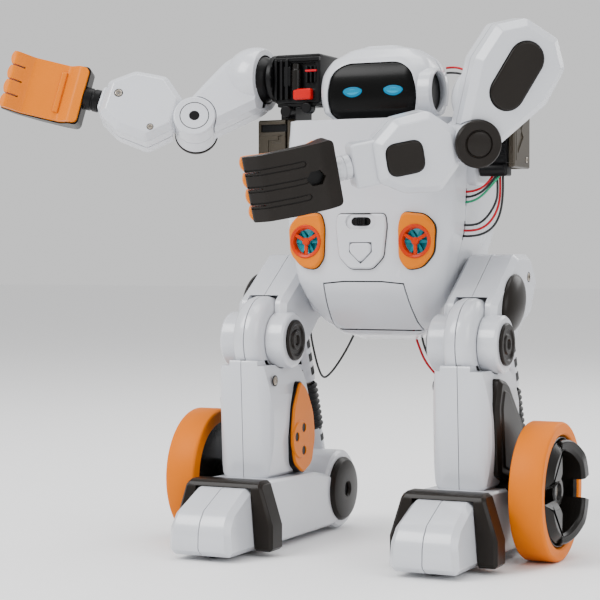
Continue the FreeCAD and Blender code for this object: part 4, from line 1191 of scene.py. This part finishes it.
def forearm(side, arm):
    """The forearm: two half shells, the elbow disc, the inset plate and the swivel collar at the wrist."""
    body = f"{side}_forearm"
    fit = fitter(side, body)
    _, fore, _, _, length = arm_frames(arm)

    def cuts():
        return [rod(15.8, -30, ELBOW_GAP, "Z", place=fore), rod(PIN_HOLE, -5, 25, "Z", place=fore)]

    seam_cuts = [rod(17, -20, 30, "Z", place=fore)]
    arm_shell(fit, "forearm", FOREARM_OUTLINE, -11.0, 12.5, fore, 2.6, cuts, seam_cuts)
    disc = [(ELBOW_GAP, ELBOW_RADIUS), (11.9, ELBOW_RADIUS), (12.7, 12.2), (12.7, 3.2), (ELBOW_GAP, PIN_HOLE)]
    fit("elbow_disc", ring(disc, "Z", place=fore), WHITE, 0.25)
    if side == "right":
        # painted shade: a black ring in the disc's groove and a black disc in its middle well stand for the
        # shade in them
        groove = [(12.4, 9.0), (12.75, 9.0), (12.75, 8.5), (12.4, 8.5)]
        fit("elbow_disc_line", ring(groove, "Z", place=fore), BLACK, 0)
        fit("elbow_well", rod(3.0, 12.2, 12.74, "Z", place=fore, steps=32), BLACK, 0.1)
        screw("right_forearm_screw", (49.0, -3.0, 12.5), (0, 0, 1), 2.2, body, fore)
        screw("right_forearm_dimple", (24.0, 14.0, 12.5), (0, 0, 1), 1.7, body, fore)
    spigot = [(50, 5.4), (length - 3.6, 5.4), (length - 3.0, 4.9)]
    fit("wrist_spigot", lathe(spigot, "X", place=fore), WHITE, 0.2)
    if side == "left":
        end, reach, face, out = length - 3.0, 12.5, 12.5, 1
        corners = rectangle(31.7, 52.7, -8.75, 8.75)
    else:
        end, reach, face, out = length - 2.9, 8.0, -11.0, -1
        corners = rectangle(27.5, 47.5, -10.5, 10.5)
    cuff = slab(rectangle(54, end, -reach, reach), "Z", [(-7, 1.0), (-6, 0), (6, 0), (7, 1.0)], fore, 2.5)
    fit("wrist_cuff", cuff, WHITE, 0.4)
    plate = soften(corners, 6.0, 6)
    levels = [(face - out * 0.6, 0), (face + out * 0.9, 0), (face + out * 1.35, 0.7)]
    fit("forearm_plate", slab(plate, "Z", levels, fore), DARK, 0.3, "forearm_trim")
    # painted shade: a black sheet round the plate stands for the shade in the gap round it
    rim = slab(inset_outline(plate, -0.6), "Z", [(face - out * 0.6, 0), (face + out * 0.12, 0)], fore)
    fit("forearm_plate_gap", rim, BLACK, 0)


def hand_outline(margin):
    """The hand seen flat: a square wrist end with round corners, and four shallow fingertips."""
    reach = 2 * FINGER_WIDTH - margin
    points = arc(3.0, (10 + margin, -reach + 3), 6, 180, 270)
    for index in range(4):
        middle = -2 * FINGER_WIDTH + FINGER_WIDTH * (index + 0.5)
        half = FINGER_WIDTH / 2 - 0.2 - (margin / 2 if index in (0, 3) else 0)
        for step in range(9):
            t = step / 4 - 1
            points.append((56.6 + 1.5 * (1 - t * t) - margin * 0.3, middle + t * half))
    return points + arc(3.0, (10 + margin, reach - 3), 6, 90, 180)


def hexagon(radius_x, radius_y, centre_x):
    """A six-sided outline."""
    return [(centre_x + radius_x * x, radius_y * y) for x, y in arc(1.0, steps=6)]


def hand(side, arm):
    """The cupped hand: a dark back shell with four grooved fingers over an orange palm layer."""
    fit = fitter(side, f"{side}_hand")
    place = arm_frames(arm)[2]
    back = soften(HAND_BACK, 2.5, 4)
    palm = soften(HAND_PALM, 1.6, 3)
    between = [FINGER_WIDTH * index for index in (-1, 0, 1)]

    def collar_space():
        return rod(7.2, -4, 7.4, "X", place=place)

    cuts = [block(hexagon(5.6, 4.6, HAND_BOLT_X), "Z", -20, -7.0, place), collar_space()]
    for middle in between:
        groove = block(capsule(25.0, 70, middle, 1.9), "Z", -20, -1.0, place)
        core = [block(capsule(25.9, 72, middle, 1.0), "Z", -21, 0, place)]
        core.append(block(inset_outline(back, 0.8), "Y", -20, 20, place))
        cuts.append(carve(groove, core))
        cuts.append(block(capsule(50, 70, middle, 0.4), "Z", -20, 20, place))
    fit("hand_back", block(back, "Y", -18.5, 18.5, place), DARK, 0.4, "hand_shell",
        within=[block(hand_outline(0.0), "Z", -30, 30, place)], cuts=cuts)
    cuts = [block(capsule(48, 70, middle, 0.5), "Z", -20, 20, place) for middle in between]
    fit("hand_palm", block(palm, "Y", -18.0, 18.0, place), ORANGE, 0.5, "palm",
        within=[block(hand_outline(0.9), "Z", -30, 30, place)], cuts=cuts + [collar_space()])
    strip = cuboid(22.0, 25.5, -13, 13, -2.0, 0.4, place, 0.5)
    fit("palm_strip", strip, ORANGE, 0.3)
    fit("hand_key", block(hexagon(5.5, 4.5, HAND_BOLT_X), "Z", -9.0, -6.8, place), BLACK, 0)
    collar = [(-2.6, 6.4), (-2.0, 7.0), (1.2, 7.0), (1.6, 6.5), (2.4, 6.5), (2.8, 7.0), (7.0, 7.0)]
    fit("wrist_collar", lathe(collar, "X", place=place), WHITE if side == "left" else BLACK, 0.2)


def shoulder_ball(side, arm):
    """The black ball, its neck and its ribbed flange."""
    fit = fitter(side, f"{side}_shoulder_ball")
    socket = arm_frames(arm)[3]
    fit("ball", ball((0, 0, 0), BALL_RADIUS, socket), BLACK, 0, "shoulder_ball", smooth=60)
    fit("ball_neck", rod(BALL_NECK_RADIUS, 10, 18.2, "X", place=socket), BLACK, 0.2)
    flange = [(12.8, 13.6), (13.6, 14.6), (16.2, 14.6), (16.6, 14.0)]
    fit("ball_flange", lathe(flange, "X", place=socket), BLACK, 0.3)
    for index in range(12):
        rib = block(rectangle(-0.9, 0.9, 7.0, 14.4), "X", 15.8, 16.85, turned(socket, 30 * index, "X"))
        fit(f"flange_rib_{index}", rib, BLACK, 0.2)


def bar(name, x_range, y_range, z_range, edge, material, bevel, corner=0.0):
    """A straight bar on the torso, from its ranges, with round upright corners if a radius is given."""
    outline = rectangle(*x_range, *y_range)
    if corner:
        outline = soften(outline, corner, 3)
    add(name, block(outline, "Z", *z_range, edge=edge), "torso", material, bevel)


def right_shoulder_unit():
    """The olive bracket and the black gearbox with its pinion, red switch and terminal."""
    outline = soften(rectangle(-85, -60.2, 21, 49), 1.0, 2)
    line = [(-78, 226), (-75.6, 226), (-75.6, 242), (-69, 242), (-69, 247), (-71, 247), (-71, 244),
            (-78, 244)]
    cuts = [
        cuboid(-83, -66, 15, 24, 249.0, 253.6),
        cuboid(-66.2, -64.8, 15, 26, 226, 262),
        block(line, "Y", 15, 21.7),
    ]
    bracket = slab(outline, "Z", [(207.5, 0.8), (208.3, 0), (255.6, 0), (256.4, 0.8)])
    add("right_bracket", bracket, "torso", OLIVE, 0.4, cuts=cuts, nodes=["right_shoulder_bracket"])
    # painted shade: a black bar at the back of the slot stands for the shade inside it
    bar("right_bracket_slot", (-83, -66), (22.2, 25), (249.0, 253.6), 0, BLACK, 0)
    bar("right_bracket_clip", (-83, -66), (20.6, 23), (246.6, 248.8), 0.4, OLIVE, 0.2)
    bar("right_bracket_groove", (-69.6, -60.2), (20.4, 22), (212, 233), 0.4, OLIVE, 0.3)
    bar("right_bracket_neck", (-70, -60.2), (23, 47), (256, 265.5), 0, BLACK, 0.3)
    pivot = lathe([(16.5, 3.2), (17.2, 3.8), (30, 3.8)], "Y", (-64.0, 261.0))
    add("right_bracket_pivot", pivot, "torso", BLACK, 0.3)

    outline = soften(rectangle(-71, -41, 17, 54), 1.2, 2)
    box = slab(outline, "Z", [(265.5, 0.8), (266.3, 0), (294.7, 0), (295.5, 0.8)])
    cuts = [rod(BALL_NECK_RADIUS + SNUG, -80, -68, "X", (25, 281.5))]
    cuts.append(block(rectangle(-60.5, -44, 274, 290), "Y", 10, 19.0))
    add("right_gearbox", box, "torso", BLACK, 0.4, cuts=cuts, nodes=["right_shoulder_gearbox"])
    ribs = [(-70.6, -69.0, 14.6), (-67.0, -65.4, 15.0), (-63.2, -61.2, 14.2)]
    for index, (low, high, front) in enumerate(ribs):
        bar(f"right_gearbox_rib_{index}", (low, high), (front, 18), (268.0, 292.5), 0.5, BLACK, 0.2)
    bar("right_gearbox_shelf", (-71, -41), (15.4, 19), (291.0, 293.6), 0.4, BLACK, 0.3)
    pinion = [(272.5, 2.5), (273.0, 3.0), (285.6, 3.0), (286.2, 2.4), (289.5, 2.4)]
    add("right_gearbox_pinion", lathe(pinion, "Z", (-56.5, 16.4), steps=36), "torso", HUB, 0.2)
    bar("right_gearbox_cam", (-64.6, -59.6), (14.6, 18), (276.0, 288.0), 0.5, BLACK, 0.3, 1.0)
    bar("right_gearbox_terminal", (-50.5, -43.0), (16.0, 19.2), (284.4, 285.8), 0.3, LEAD_RED, 0.15)
    for index, x in enumerate((-49.6, -46.8, -44.0)):
        bar(f"right_gearbox_tab_{index}", (x - 0.5, x + 0.5), (16.2, 19.2), (278.0, 288.0), 0.2, BLACK, 0.1)
    bar("right_gearbox_switch", (-57.5, -45.5), (13.4, 20), (267.6, 274.2), 0.8, RED, 0.3, 0.8)
    screw("right_gearbox_screw", (-48.0, 35.0, 295.5), (0, 0, 1), 2.2, "torso")
    ear = lathe([(15.2, 2.8), (15.8, 3.4), (22.0, 3.4)], "Y", (-49.5, 262.6), steps=36)
    add("right_gearbox_ear", ear, "torso", BLACK, 0.3)
    bar("right_gearbox_ear_arm", (-70, -44), (18, 30), (263.6, 266.0), 0.4, BLACK, 0.3)


def left_shoulder_unit():
    """The black gearbox with its connector, and the olive bracket with its zigzag."""
    outline = soften(rectangle(60.2, 79, 14, 42), 1.2, 2)
    box = slab(outline, "Z", [(226, 0.8), (226.8, 0), (269.7, 0), (270.5, 0.8)])
    cuts = [rod(BALL_NECK_RADIUS + SNUG, 10, 17.05, "Y", (73, 262))]
    add("left_gearbox", box, "torso", BLACK, 0.4, cuts=cuts, nodes=["left_shoulder_gearbox"])
    for index, z in enumerate((231.0, 236.0, 241.0)):
        bar(f"left_gearbox_rib_{index}", (61, 78.6), (13.4, 16), (z, z + 2.0), 0.4, BLACK, 0.2)
    bar("left_connector", (61.5, 78.5), (15.4, 24.6), (219.0, 226.4), 0.6, BLACK, 0.3, 1.0)
    roll = lathe([(62, 3.3), (62.6, 4.0), (77.4, 4.0), (78, 3.3)], "X", (17.6, 222.8), steps=36)
    add("left_connector_roll", roll, "torso", BLACK, 0.2)
    outline = soften(rectangle(17, 46, 224, 264), 1.2, 3)
    zigzag = [(40, 256), (30, 246), (34, 242), (24, 232), (22, 236), (30, 245), (26, 249), (37, 260)]
    plate = slab(outline, "X", [(79, 0), (81.8, 0), (82.5, 0.7)])
    cuts = [block(zigzag, "X", 81.7, 90), block(rectangle(20, 21, 228, 260), "X", 81.7, 90)]
    add("left_bracket", plate, "torso", OLIVE, 0.3, cuts=cuts, nodes=["left_shoulder_bracket"])
    bar("left_bracket_back", (60.2, 82.4), (42, 46), (224, 264), 0.6, OLIVE, 0.3)
    bar("left_bracket_front_line", (79.4, 82.1), (16.2, 18), (226, 262), 0.5, OLIVE, 0.2)
    screw("left_bracket_screw", (82.5, 40.0, 229.0), (1, 0, 0), 1.8, "torso")


def arms():
    """Both arms and the units on the torso that hold them."""
    for side in SIDES:
        for build in (shoulder_ball, upper_arm, forearm, hand):
            build(side, ARMS[side])
    right_shoulder_unit()
    left_shoulder_unit()


# ---- everything

studio()
leads()
torso()
head()
legs()
arms()
